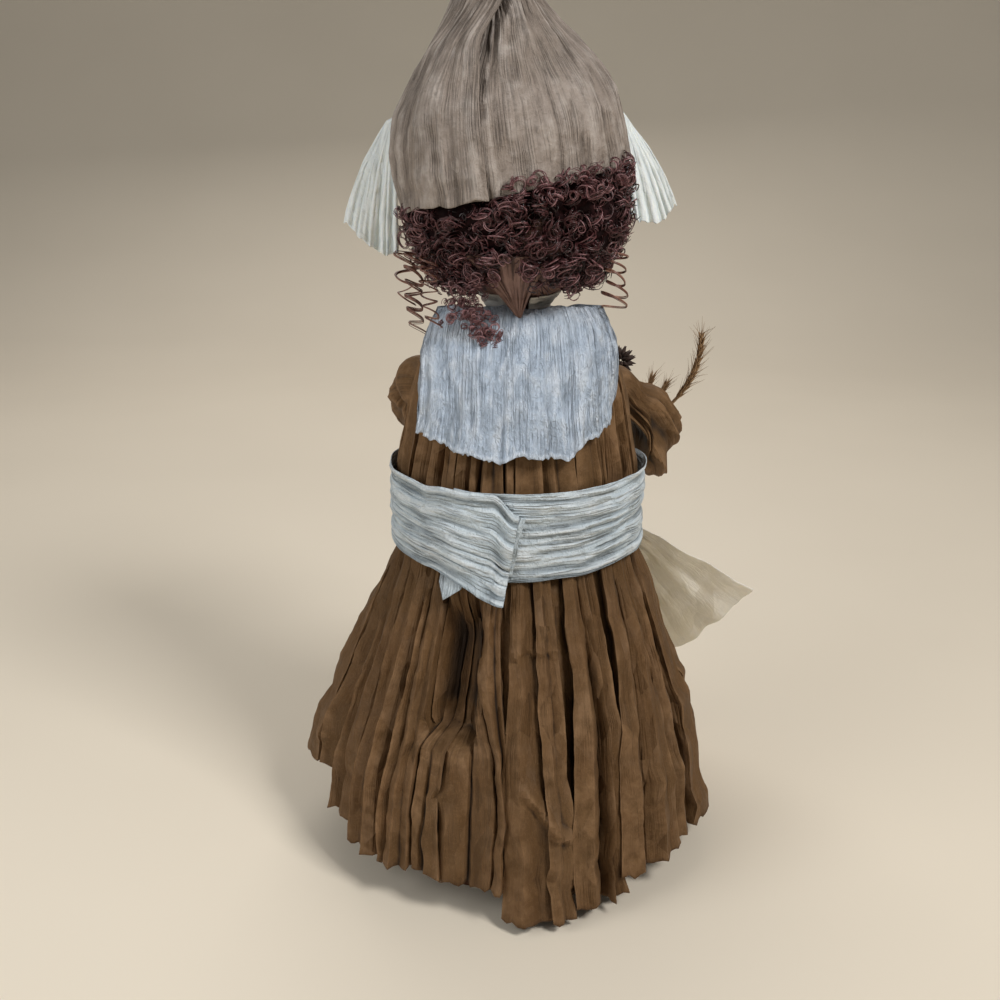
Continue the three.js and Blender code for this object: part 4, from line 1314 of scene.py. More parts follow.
@dataclass
class Collar:
    """The wide white sheet over the shoulders, with a hole for the neck and a torn edge."""

    top: float = 220.4
    neck: float = 220.0
    hole: float = 10.6
    outline: tuple = (
        (172, 47, 41.5, 3.5),
        (178, 46, 38.5, 4),
        (190, 44, 32, 6.5),
        (202, 44, 27.5, 6.5),
        (210, 43.4, 24.4, 5),
        (215.5, 42, 21, 4),
        (219, 39.5, 17.8, 3),
        (221, 36, 15, 2),
    )
    hangs: tuple = (
        (-90, 38), (-58, 37), (-48, 12), (-30, 4), (0, 3), (30, 3), (35, 8), (36.2, 40.5), (40, 40.8), (48, 41.5),
        (62, 44), (75, 45.6), (83, 46.6), (90, 45), (97, 45.4), (106, 44.6), (113, 45.8), (119, 42.4), (128, 39.6),
        (136, 36.7), (140, 33.8), (146, 24), (149, 8), (153, 3.5), (180, 3), (210, 4), (228, 12), (238, 37),
        (270, 38),
    )

    def build(self, wardrobe: Wardrobe) -> None:
        """Make the collar.

        Args:
            wardrobe: the finishes.
        """
        u, v = grid_of(64, 560, True)
        degrees = -90 + 360 * u
        angle = np.radians(degrees)
        rough = Noise(51)
        hang = between(self.hangs, degrees)[0]
        torn = 0.9 * rough.creased(u * 50, 2.0, 50) + 0.6 * rough.creased(u * 150, 5.0, 150)
        hang = hang + torn * ease(hang, 8, 30)
        start = 0.2
        down = np.clip((v - start) / (1 - start), 0, 1) ** 1.25
        raised = 3.6 * ease(np.sin(angle), 0.1, 0.5) - 1.5 * ease(-np.sin(angle), 0.0, 0.6)
        z = blend_of(self.top + 0.6, self.neck - hang, down)
        x, y, middle = between(self.outline, z, 1.5)
        z = z + raised * ease(v, 0.03, start) * (1 - ease(down, 0.0, 0.22))
        spread = np.clip(v / start, 0, 1)
        tucked = 1 - 0.3 * (1 - ease(hang, 4, 14))
        x = blend_of(self.hole, x * tucked, spread)
        y = blend_of(self.hole, y * tucked, spread)
        # rim=2 paints a highlight along the collar's bottom edge.
        sheet = Paper(oval(x, y, angle, z, middle * spread), ring=True, fold_deep=0.9, rim=2)
        fan = rough.creased(u * 44, 1.0 * v, 44) + 0.6 * rough.creased(u * 96, 2.0 * v + 20, 96)
        loose = ease(hang, 4, 26)
        sheet.push(0.55 * ease(v, 0.12, 0.4) * loose * fan)
        line = blend_of(89.0, 81.0, np.clip((222 - z) / 20, 0, 1))
        sheet.push(1.1 * np.exp(-(((degrees - line) / 0.9) ** 2)) * ease(z, 200, 206))
        sheet.facet(52, (9, 9), 1.5 * loose).facet(53, (3.4, 4), 0.85 * loose)
        made = dress(sheet.build("collar_sheet", wardrobe.white), "white_paper", "torso", "collar")


@dataclass
class Sash:
    """The white strip wound round the waist, its outer end lapped over the inner one at the back."""

    low: float = WAIST_LOW
    high: float = 162.0
    end: float = 90.0
    lap: float = 28.0
    sag_high: float = 8.0
    sag_low: float = 7.5
    round_length: float = 300.0

    def round_waist(self, angle: Array, z: Array, lift: Array | float) -> Array:
        """Points on the waist, outside the skirt and the bodice, by angle in degrees and height."""
        x, y = between(Skirt().outline, z, 4.0)
        return oval(np.maximum(49.8, x + 3.0) + lift, np.maximum(44.8, y + 3.0) + lift, np.radians(angle), z)

    def build(self, wardrobe: Wardrobe) -> None:
        """Make the sash.

        Args:
            wardrobe: the finishes.
        """
        u, v = grid_of(52, 680)
        turn = (360 + self.lap) * u
        rough = Noise(61)
        length = turn / 360 * self.round_length
        sag_high = self.sag_high * (1 - ease(turn, 0, 11))
        sag_low = self.sag_low * (1 - ease(turn, 0, 40))
        lift = 1.8 * (1 - ease(turn, self.lap, 2 * self.lap)) + 1.6 * (1 - ease(turn, 0, 7))
        slant = -6 * v * (1 - ease(turn, 0, 24))
        high = self.high - sag_high + 0.7 * rough(length / 9, 3.0)
        sides = np.cos(np.radians(self.end - turn)) ** 2
        low = self.low - sag_low + 3.5 * sides + 0.7 * rough(length / 11, 8.0)
        z = blend_of(high, low, v)
        sheet = Paper(self.round_waist(self.end - turn + slant, z, lift), grain=Grain.LEVEL, fold_deep=0.8)
        tall = v * (self.high - self.low)
        level = rough.creased(length / 46, tall / 3.4) + 0.7 * rough.creased(length / 24 + 9, tall / 1.8 + 5)
        sheet.push(0.7 * level)
        sheet.facet(62, (26, 6), 0.9)
        made = dress(sheet.build("sash_strip", wardrobe.strip), "white_paper", "torso", "sash")
        self.ends(wardrobe)

    def ends(self, wardrobe: Wardrobe) -> None:
        """Make the turned-in edge of the outer end, and the corner of the inner end that shows below."""
        u, v = grid_of(30, 12)
        z = blend_of(self.high - 9, self.low + 3, v)
        wide = blend_of(2.6, 1.0, v)
        edge = self.end - 4.5 * v + blend_of(-11.0, wide, u) + 0.6 * Noise(65).creased(v * 5, 2.0)
        made = Paper(self.round_waist(edge, z, 1.4), thick=0.3).build("sash_turned_edge", wardrobe.strip)
        dress(made, "white_paper", "torso")
        u, v = grid_of(14, 24)
        degrees = blend_of(55, 66, u)
        tip = between(((0, 0.5), (0.3, 6.5), (1, 1.5)), u)[0]
        z = self.low - 1.5 + 8 * (1 - v) - tip * v
        corner = Paper(self.round_waist(degrees, z, 0.6 + 1.2 * v), thick=0.3)
        made = corner.build("sash_inner_corner", wardrobe.strip)
        dress(made, "white_paper", "torso")


@dataclass
class Apron:
    """The thin sheet in front, one corner lifted well clear of the skirt."""

    left: float = -38.0
    right: float = -156.0
    hem: float = 28.0
    corner: float = 85.0
    flare: float = 50.0

    def build(self, wardrobe: Wardrobe) -> None:
        """Make the apron.

        Args:
            wardrobe: the finishes.
        """
        u, v = grid_of(90, 300)
        rough = Noise(71)
        angle = np.radians(blend_of(self.left, self.right, u))
        lifted = np.maximum(0, (u - 0.55) / 0.45)
        heading = 1 / 6
        down = np.clip((v - heading) / (1 - heading), 0, 1)
        hem = blend_of(self.hem, self.corner, lifted**3) + 1.2 * rough.creased(u * 34, 2.0)
        z = np.where(v <= heading, blend_of(142.0, 131.0, v / heading), blend_of(131.0, hem, down))
        x, y = between(Skirt().outline, z, 5.0)
        wave = 1.8 * (1 + np.cos(12 * math.pi * u))
        loose = 2.2 + down * (2.5 + wave) + 3 * np.sin(math.pi * down)
        off = loose + self.flare * lifted**1.5 * down**1.2
        sheet = Paper(oval(x + off, y + off, angle, z), thick=0.3, fold_deep=1.5)
        sheet.push(0.9 * ease(down, 0, 0.3) * rough.creased(u * 30, 1.5 * v))
        sheet.facet(72, (16, 18), 1.8)
        made = dress(sheet.build("apron_sheet", wardrobe.apron), "apron_paper", "torso", "apron")


@dataclass
class NeckBand:
    """The short white strip round the neck, open at the back."""

    low: float = 221.2
    high: float = 229.2
    start: float = 104.0
    stop: float = 434.0

    def build(self, wardrobe: Wardrobe) -> None:
        """Make the band.

        Args:
            wardrobe: the finishes.
        """
        u, v = grid_of(22, 220)
        rough = Noise(81)
        angle = np.radians(blend_of(self.start, self.stop, u))
        z = blend_of(self.high + 0.8 * rough(u * 12, 1.0), self.low, v)
        ends = 1.5 * (1 - ease(np.minimum(u, 1 - u), 0, 0.06))
        radius = 11.4 + ends + 4.6 * (1 - v) ** 1.4
        sheet = Paper(oval(radius, radius, angle, z), grain=Grain.LEVEL, fold_deep=0.6)
        sheet.push(0.4 * rough.creased(u * 6, v * 5) + 0.25 * rough.creased(u * 15, v * 9))
        made = dress(sheet.build("neck_band_strip", wardrobe.band), "white_paper", "torso", "neck_band")


# Head


@dataclass
class Cap:
    """The tall cap: a rolled cone with an onion-shaped belly, leaning to the doll's left."""

    centre: float = HEAD_Z
    tilt: float = 8.0
    lap: float = 26.0
    end: float = 77.0
    tip: float = 96.5
    profile: tuple = (
        (-6, 43.7), (14, 44.5), (24, 43.7), (34, 40), (44, 33), (54, 24.6), (66, 15.2), (78, 8.6), (97, 3),
    )

    @staticmethod
    def turned(points: Array, degrees: float) -> Array:
        """Points turned about the head's centre, towards the doll's left."""
        along, aside = math.cos(math.radians(degrees)), math.sin(math.radians(degrees))
        x, y, z = points[..., 0], points[..., 1], points[..., 2]
        return np.stack([x * along + z * aside, y, z * along - x * aside], axis=-1)

    def reach(self, direction: Array) -> Array:
        """How far the cap's surface lies from the head's centre along directions."""
        own = self.turned(direction, -self.tilt)
        flat = np.hypot(own[..., 0], own[..., 1])
        near, far = np.zeros_like(flat), np.full_like(flat, 2 * self.profile[-1][0])
        for _ in range(30):
            middle = 0.5 * (near + far)
            inside = middle * flat < between(self.profile, middle * own[..., 2], 3.0)[0]
            near, far = np.where(inside, middle, near), np.where(inside, far, middle)
        return far

    def build(self, wardrobe: Wardrobe) -> None:
        """Make the cap.

        Args:
            wardrobe: the finishes.
        """
        u, v = grid_of(96, 460)
        rough = Noise(91)
        turn = (360 + self.lap) * u
        angle = np.radians(self.end - turn)
        share = (1 - v) ** 1.05
        level = share * self.tip
        swing = 38 * ease(level, 50, 76)
        angle = angle + np.radians(swing) * np.maximum(0, 1 - turn / 170)
        front = np.maximum(0, -np.sin(angle)) ** 2
        rim = 3 - 3 * np.cos(angle) + 17 * front + 0.8 * rough.creased(turn / 9, 1.0)
        height = blend_of(rim, self.tip, share)
        radius = between(self.profile, height, 4.0)[0]
        outer = 1 - ease(turn, self.lap, 2 * self.lap)
        lift = (1.8 + 1.8 * ease(height, 44, 56) * (1 - ease(turn, 0, self.lap))) * outer
        gather = ease(height, 40, 85)
        ridges = rough.creased(turn / 7.5, 1.2 * v) + 0.6 * rough.creased(turn / 3.4 + 11, 2.5 * v)
        dents = rough(turn / 22 + 5, height / 20) + 0.6 * rough(turn / 11, height / 11 + 9)
        radius = radius + lift + (0.55 + 0.5 * gather * np.minimum(1, radius / 14)) * ridges
        swirl = 14 * gather * ease(turn, 180, 330)
        beside = 360 - turn + swirl - swing
        below = np.clip(1 - beside / 15, 0, 1) * ease(beside, -18, -5) * (turn > 250)
        pocket = below * ease(height, 34, 50) * (1 - ease(height, 66, 80))
        radius = radius - 5.5 * pocket * np.minimum(1, radius / 14)
        from_right = np.abs((np.degrees(angle) + 360) % 360 - 180)
        radius = radius - 2.6 * np.exp(-((from_right / 42) ** 2)) * (1 - ease(height, 16, 50))
        radius = np.maximum(1.6, radius + 0.9 * dents * np.minimum(1, radius / 20))
        radius = radius * (1 - 0.88 * ease(height, 88, self.tip))
        points = self.turned(oval(radius, radius, angle + np.radians(swirl), height), self.tilt)
        sheet = Paper(points + np.array([0, 0, self.centre]), fold_deep=1.0)
        wide = np.minimum(1, radius / 20)
        sheet.facet(92, (8, 10), 0.9 * wide).facet(93, (4, 5), 0.4 * wide)
        made = dress(sheet.build("cap_cone", wardrobe.cap), "cap_paper", "head", "cap")


@dataclass
class BonnetBand:
    """The white strip over the front of the cap, its ends fanned out beside the head."""

    left_from: float = 64.0
    right_from: float = 52.0
    left_share: float = 0.22
    right_share: float = 0.22
    left_end: tuple = ((0, 45, 3, 242.5), (0.3, 51, 1.5, 242), (0.6, 58, -1, 246.5), (1, 66, -5, 254))
    right_end: tuple = ((0, -41.5, 3, 257), (0.25, -45, 2, 254), (0.6, -53.5, -1, 253.5), (1, -59.5, -5, 260.5))

    def build(self, wardrobe: Wardrobe, cap: Cap) -> None:
        """Make the band.

        Args:
            wardrobe: the finishes.
            cap: the cap that it lies on.
        """
        u, v = grid_of(56, 460)
        rough = Noise(101)
        end = np.maximum(1 - u / self.right_share, 1 - (1 - u) / self.left_share)
        end = np.maximum(0, end)
        over = np.clip((u - self.right_share) / (1 - self.left_share - self.right_share), 0, 1)
        swing = np.radians(blend_of(-self.right_from, self.left_from, over))
        high = np.maximum(0, np.cos(swing))
        rear = blend_of(-12.0, 42.0, high)
        lean = np.radians(blend_of(rear, blend_of(-4.0, 58.0, high), v))
        up = np.stack([np.sin(swing) * np.cos(lean), -np.sin(lean), np.cos(swing) * np.cos(lean)], axis=-1)
        far = cap.reach(up) + 1.8 + 3.0 * v + 6.0 * v * (2 * over - 1) ** 4
        points = up * far[..., None] + np.array([0.0, 0.0, cap.centre])
        tips = [np.stack(between(table, v), axis=-1) for table in (self.right_end, self.left_end)]
        tip = np.where((u < 0.5)[..., None], *tips)
        points = blend_of(points, tip, end[..., None])
        pleats = 0.5 * np.sin(13 * math.pi * v) + 1.6 * rough.creased(v * 8, 0.8 * u)
        points[..., 1] += end * (pleats + 0.8 * rough.creased(v * 17, 5.0))
        points[..., 0] += np.sign(u - 0.5) * 2.5 * np.sin(math.pi * end) * v
        points[..., 2] += 0.9 * end**4 * rough.creased(v * 16, 3.0)
        sheet = Paper(points, grain=Grain.LEVEL, fold_deep=1.2)
        sheet.crumple(102, (16, 8), 0.5)
        made = dress(sheet.build("bonnet_strip", wardrobe.veil), "white_paper", "head", "bonnet_band")


@dataclass
class Head:
    """Skin-brown paper over the head ball, gathered at the neck, with a point of it left at the nape."""

    centre: float = HEAD_Z
    radius: float = 39.0
    neck_radius: float = 8.4
    neck_low: float = 220.6
    nape: tuple = ((4.0, 36.0, 246.0), (3.0, 30.0, 236.5), (1.5, 23.0, 229.5), (0.0, 19.5, 222.0))

    def build(self, wardrobe: Wardrobe) -> None:
        """Make the cover and the point at the nape.

        Args:
            wardrobe: the finishes.
        """
        u, v = grid_of(110, 320, True)
        angle = 2 * math.pi * u
        polar = blend_of(0.02, math.pi - 0.25, np.clip(v / 0.9, 0, 1))
        radius = self.radius * np.sin(polar)
        z = self.centre + self.radius * np.cos(polar)
        stem = ease(v, 0.86, 0.93)
        radius = blend_of(radius, self.neck_radius, stem)
        z = blend_of(z, blend_of(227.5, self.neck_low, np.clip((v - 0.9) / 0.1, 0, 1)), stem)
        gather = ease(v, 0.55, 0.86)
        rough = Noise(111)
        folds = rough.creased(u * 26, 1.0, 26) + 0.5 * rough.creased(u * 52, 2 * v, 52)
        radius = radius + 0.7 * gather * folds * np.minimum(1, radius / 12)
        sheet = Paper(oval(radius, radius, angle, z), ring=True, fold_deep=0.8)
        sheet.crumple(112, (16, 16), 0.25)
        made = dress(sheet.build("head_skin", wardrobe.skin), "skin_paper", "head", "head_cover")
        self.point(wardrobe)

    def point(self, wardrobe: Wardrobe) -> None:
        """Make the gathered point of paper at the nape."""
        u, v = grid_of(40, 90)
        path = np.array(self.nape)
        stations = np.linspace(0, 1, len(path))
        line = np.stack([np.interp(v, stations, path[:, k]) for k in range(3)], axis=-1)
        half = blend_of(17.0, 0.7, v**0.75)
        rough = Noise(115)
        folds = rough.creased(u * 7, 0.6 * v) + 0.6 * rough.creased(u * 15, 0.9 * v + 4)
        line[..., 0] += half * (2 * u - 1)
        line[..., 1] += 1.4 - 6 * (1 - v) * (2 * u - 1) ** 2 + blend_of(1.5, 0.8, v) * folds
        made = Paper(line, fold_deep=0.8).build("nape_point", wardrobe.skin)
        high, low = path[0, 2] - 4, path[-1, 2] + 4
        dress_across(made, "skin_paper", ("head", "torso"), ((0, 0, high), (0, 0, low)))


@dataclass(frozen=True)
class CurlLayer:
    """A layer of curls: how many, how far off the head, how wide, and how many hairs lie in each."""

    name: str
    seed: int
    count: int
    stand: tuple[float, float]
    radius: tuple[float, float]
    turns: tuple[float, float]
    strands: int
    steps: int
    thick: float
    tone: float
    span: tuple[float, float] = (-14.0, 192.0)
    rise: float = 0.0
    tall: float = 90.0
    nodes: tuple[str, ...] = ()


@dataclass
class Wig:
    """A mass of small curls below the cap, and loose ringlets that hang out of it."""

    centre: float = HEAD_Z
    start: float = 40.2
    hanging: tuple = (
        ("left_back", 36, 6, 3.3, (-3.0, 0.0, 0.0)),
        ("left_side", 18, 6, 3.5, (-2.5, 2.0, 0.0)),
        ("left_front", 5, 3, 4.2, (-1.0, 2.0, 1.0)),
        ("right_side", 166, 5, 5.2, (6.5, 4.0, 0.0)),
    )
    layers: tuple = (
        # The undercoat's low tone keeps the curls nearest the head dark: painted shade of the hair's depth.
        CurlLayer("wig_undercoat", 121, 760, (0.3, 2.4), (1.3, 2.4), (1.6, 3.2), 1, 30, 0.3, 0.05),
        CurlLayer("wig_curls", 122, 310, (1.8, 4.8), (2.2, 3.9), (1.1, 2.4), 3, 34, 0.2, 0.32, nodes=("wig",)),
        CurlLayer(
            "wig_rim_curls", 123, 90, (4.6, 6.6), (1.8, 3.2), (1.0, 2.0), 3, 30, 0.2, 0.4,
            span=(84.0, 160.0), rise=7.0, tall=12.0,
        ),
    )

    def on_head(self, azimuth: Array, elevation: Array, distance: Array) -> Array:
        """Points by azimuth, elevation and distance from the head's centre."""
        flat = distance * np.cos(elevation)
        return np.stack(
            [flat * np.cos(azimuth), flat * np.sin(azimuth), self.centre + distance * np.sin(elevation)], axis=-1
        )

    @staticmethod
    def coil(
        root: Array, axis: Array, radius: Array, pitch: Array, turns: Array, phase: Array, steps: int
    ) -> Array:
        """Curls that start at their roots.

        Args:
            root: where each starts.
            axis: which way each runs.
            radius: radius of its turns.
            pitch: distance from turn to turn.
            turns: number of turns.
            phase: angle at which it starts.
            steps: points along it.

        Returns:
            The points of each curl.
        """
        t = np.linspace(0, 1, steps)[None, :, None]
        axis = unit(axis)
        side = unit(np.cross(axis, np.where(np.abs(axis[:, 2:]) < 0.8, [0.0, 0.0, 1.0], [1.0, 0.0, 0.0])))
        other = np.cross(axis, side)
        angle = phase[:, None, None] + 2 * math.pi * turns[:, None, None] * t
        wide = radius[:, None, None] * (0.75 + 0.25 * np.sin(2.2 * math.pi * t + phase[:, None, None]))
        ring = side[:, None] * np.cos(angle) + other[:, None] * np.sin(angle)
        return root[:, None] + axis[:, None] * (pitch * turns)[:, None, None] * t + wide * ring

    def build(self, wardrobe: Wardrobe) -> None:
        """Make the wig and its ringlets.

        Args:
            wardrobe: the finishes.
        """
        self.base(wardrobe)
        for layer in self.layers:
            self.mass(wardrobe, layer)
        for name, at, turns, wide, shift in self.hanging:
            self.ringlet(wardrobe, name, math.radians(at), turns, wide, shift)
        self.tuft(wardrobe)

    def tuft(self, wardrobe: Wardrobe) -> None:
        """Make the loose tuft that lies on the collar, left of the nape."""
        dice = np.random.default_rng(129)
        count, strands, steps = 110, 3, 30
        share = dice.uniform(0, 1, count) ** 1.3
        root = np.stack([blend_of(22, 9, share), blend_of(27, 26, share), blend_of(231, 213, share)], axis=-1)
        root = root + dice.normal(0, (2.4, 0.7, 2.2), (count, 3)) * blend_of(1.9, 0.6, share)[:, None]
        axis = dice.normal(0, 0.5, (count, 3)) + np.array([-0.3, 0.9, -0.4])
        sizes = dice.uniform(0.7, 2.0, count)
        paths = [
            self.coil(
                root + dice.normal(0, 0.2, root.shape), axis, sizes * dice.normal(1, 0.06, count),
                np.full(count, 0.7), dice.uniform(1.1, 2.0, count), dice.uniform(*ANY_PHASE, count), steps,
            )
            for _ in range(strands)
        ]
        strand = np.clip(0.68 + dice.normal(0, 0.2, strands * count), 0, 1)
        thick = np.full((strands * count, steps), 0.13)
        made = tubes("wig_loose_tuft", np.concatenate(paths), thick, 3, wardrobe.hair, strand)
        dress_across(made, "hair", ("head", "torso"), ((0, 0, 231), (0, 0, 219)))

    def mass(self, wardrobe: Wardrobe, layer: CurlLayer) -> None:
        """Make one layer of curls.

        Args:
            wardrobe: the finishes.
            layer: what its curls are like.
        """
        dice = np.random.default_rng(layer.seed)
        count = layer.count
        degrees = dice.uniform(*layer.span, count)
        azimuth = np.radians(degrees)
        open_nape = np.exp(-(((degrees - 85) / 13) ** 2))
        low = blend_of(-50.0, -27.0, open_nape)
        top = 3.0 - 9.0 * np.cos(azimuth) + layer.rise
        low = np.maximum(low, top - layer.tall)
        elevation = np.radians(blend_of(low, top, dice.uniform(0, 1, count)))
        deep = dice.uniform(0, 1, count)
        side = ease(np.abs(degrees - 90), 60, 100)
        right = ease(degrees, 135, 168) * (1 - ease(degrees, 171, 181))
        away = blend_of(*layer.stand, deep) * (1 - 0.45 * side) * (1 - 0.6 * right)
        root = self.on_head(azimuth, elevation, self.start + away)
        out = unit(root - np.array([0, 0, self.centre]))
        axis = dice.normal(0, 0.7, (count, 3)) + 0.25 * out + np.array([0, 0, -0.6])
        size = dice.uniform(*layer.radius, count) * (1 - 0.2 * side) * (1 - 0.25 * right)
        pitch, turns = dice.uniform(0.6, 2.4, count), dice.uniform(*layer.turns, count)
        phase = dice.uniform(*ANY_PHASE, count)
        bundle = [
            self.coil(
                root + dice.normal(0, 0.22, (count, 3)), axis + dice.normal(0, 0.06, (count, 3)),
                size * dice.normal(1, 0.07, count), pitch, turns * dice.normal(1, 0.04, count),
                phase + dice.normal(0, 0.12, count), layer.steps,
            )
            for _ in range(layer.strands)
        ]
        paths = self.clear_of_head(np.concatenate(bundle))
        many = len(paths)
        thick = np.sin(np.linspace(0.06, 1, layer.steps) * math.pi * 0.97)[None] ** 0.35
        radii = layer.thick * thick * dice.uniform(0.75, 1.2, (many, 1))
        # Curls that stand farther from the head get a lighter strand value, and those nearer it a darker one:
        # painted shade of the hair's depth, over the strands' random tones.
        strand = np.clip(layer.tone + 0.25 * np.tile(deep, layer.strands) + dice.normal(0, 0.22, many), 0, 1)
        made = tubes(layer.name, paths, radii, 3, wardrobe.hair, strand)
        dress(made, "hair", "head", *layer.nodes)

    def clear_of_head(self, paths: Array) -> Array:
        """Curls pushed out where they would dip into the head."""
        from_centre = paths - np.array([0, 0, self.centre])
        far = np.linalg.norm(from_centre, axis=-1, keepdims=True)
        return np.array([0, 0, self.centre]) + from_centre * np.maximum(1, self.start / far)

    def base(self, wardrobe: Wardrobe) -> None:
        """Make the dark matted layer that the curls grow from."""
        u, v = grid_of(40, 240)
        rough = Noise(125)
        azimuth = np.radians(blend_of(-16, 196, u))
        nape = np.exp(-(((np.degrees(azimuth) - 100) / 14) ** 2))
        low = blend_of(-34.0, -8.0, nape) + 3 * rough.creased(u * 34, 2.0)
        elevation = np.radians(blend_of(12.0, low, v))
        stand = 1.3 * (1 + rough.creased(u * 60, v * 14)) * (1 - 0.6 * ease(np.degrees(azimuth), 150, 176))
        distance = self.start + 0.5 + stand * np.sin(math.pi * np.clip(v, 0.05, 0.95))
        sheet = Paper(self.on_head(azimuth, elevation, distance))
        made = sheet.build("wig_base", wardrobe.mat)
        mark(made, "strand", np.full(u.size, 0.02))
        dress(made, "hair", "head")

    def ringlet(
        self, wardrobe: Wardrobe, name: str, azimuth: float, turns: int, wide: float, shift: Place
    ) -> None:
        """Make one loose ringlet of several hairs.

        Args:
            wardrobe: the finishes.
            name: its side and place.
            azimuth: where it hangs from the wig.
            turns: its number of turns.
            wide: radius of its turns.
            shift: how far it hangs from the middle of its solid.
        """
        corners = np.array(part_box(f"ringlet_{name}"), float) / MM
        middle = corners.mean(axis=0) + np.array(shift)
        top, bottom = corners[1, 2] + 3, corners[0, 2]
        dice = np.random.default_rng(int(1000 * azimuth) + 7)
        hairs = 5
        t = np.linspace(0, 1, 24 * turns)
        swell = np.interp(t, np.linspace(0, 1, 6), dice.uniform(0.75, 1.25, 6))
        tip = np.interp(t, np.linspace(0, 1, 7), 0.42 + dice.normal(0, 0.3, 7))
        paths = []
        for _ in range(hairs):
            angle = azimuth + math.pi + 2 * math.pi * turns * t + dice.normal(0, 0.14)
            angle = angle + 0.25 * np.sin(5 * t + dice.uniform(0, 6))
            radius = wide * swell * (1 - 0.25 * t) * dice.normal(1, 0.06)
            x = middle[0] + radius * np.cos(angle) + 1.8 * np.sin(3.2 * t + azimuth) * t
            y = middle[1] + radius * np.sin(angle)
            z = top + (bottom - top) * t + tip * radius * np.sin(angle + 0.8) + dice.normal(0, 0.25)
            paths.append(np.stack([x, y, z], axis=-1))
        thick = 0.21 * (1 - 0.5 * t**3)[None]
        strand = np.clip(0.5 + dice.normal(0, 0.2, hairs), 0, 1)
        made = tubes(f"ringlet_{name}_strands", np.array(paths), thick, 5, wardrobe.ringlet, strand)
        dress(made, "hair", "head", f"ringlet_{name}")


# Arms and sheaf


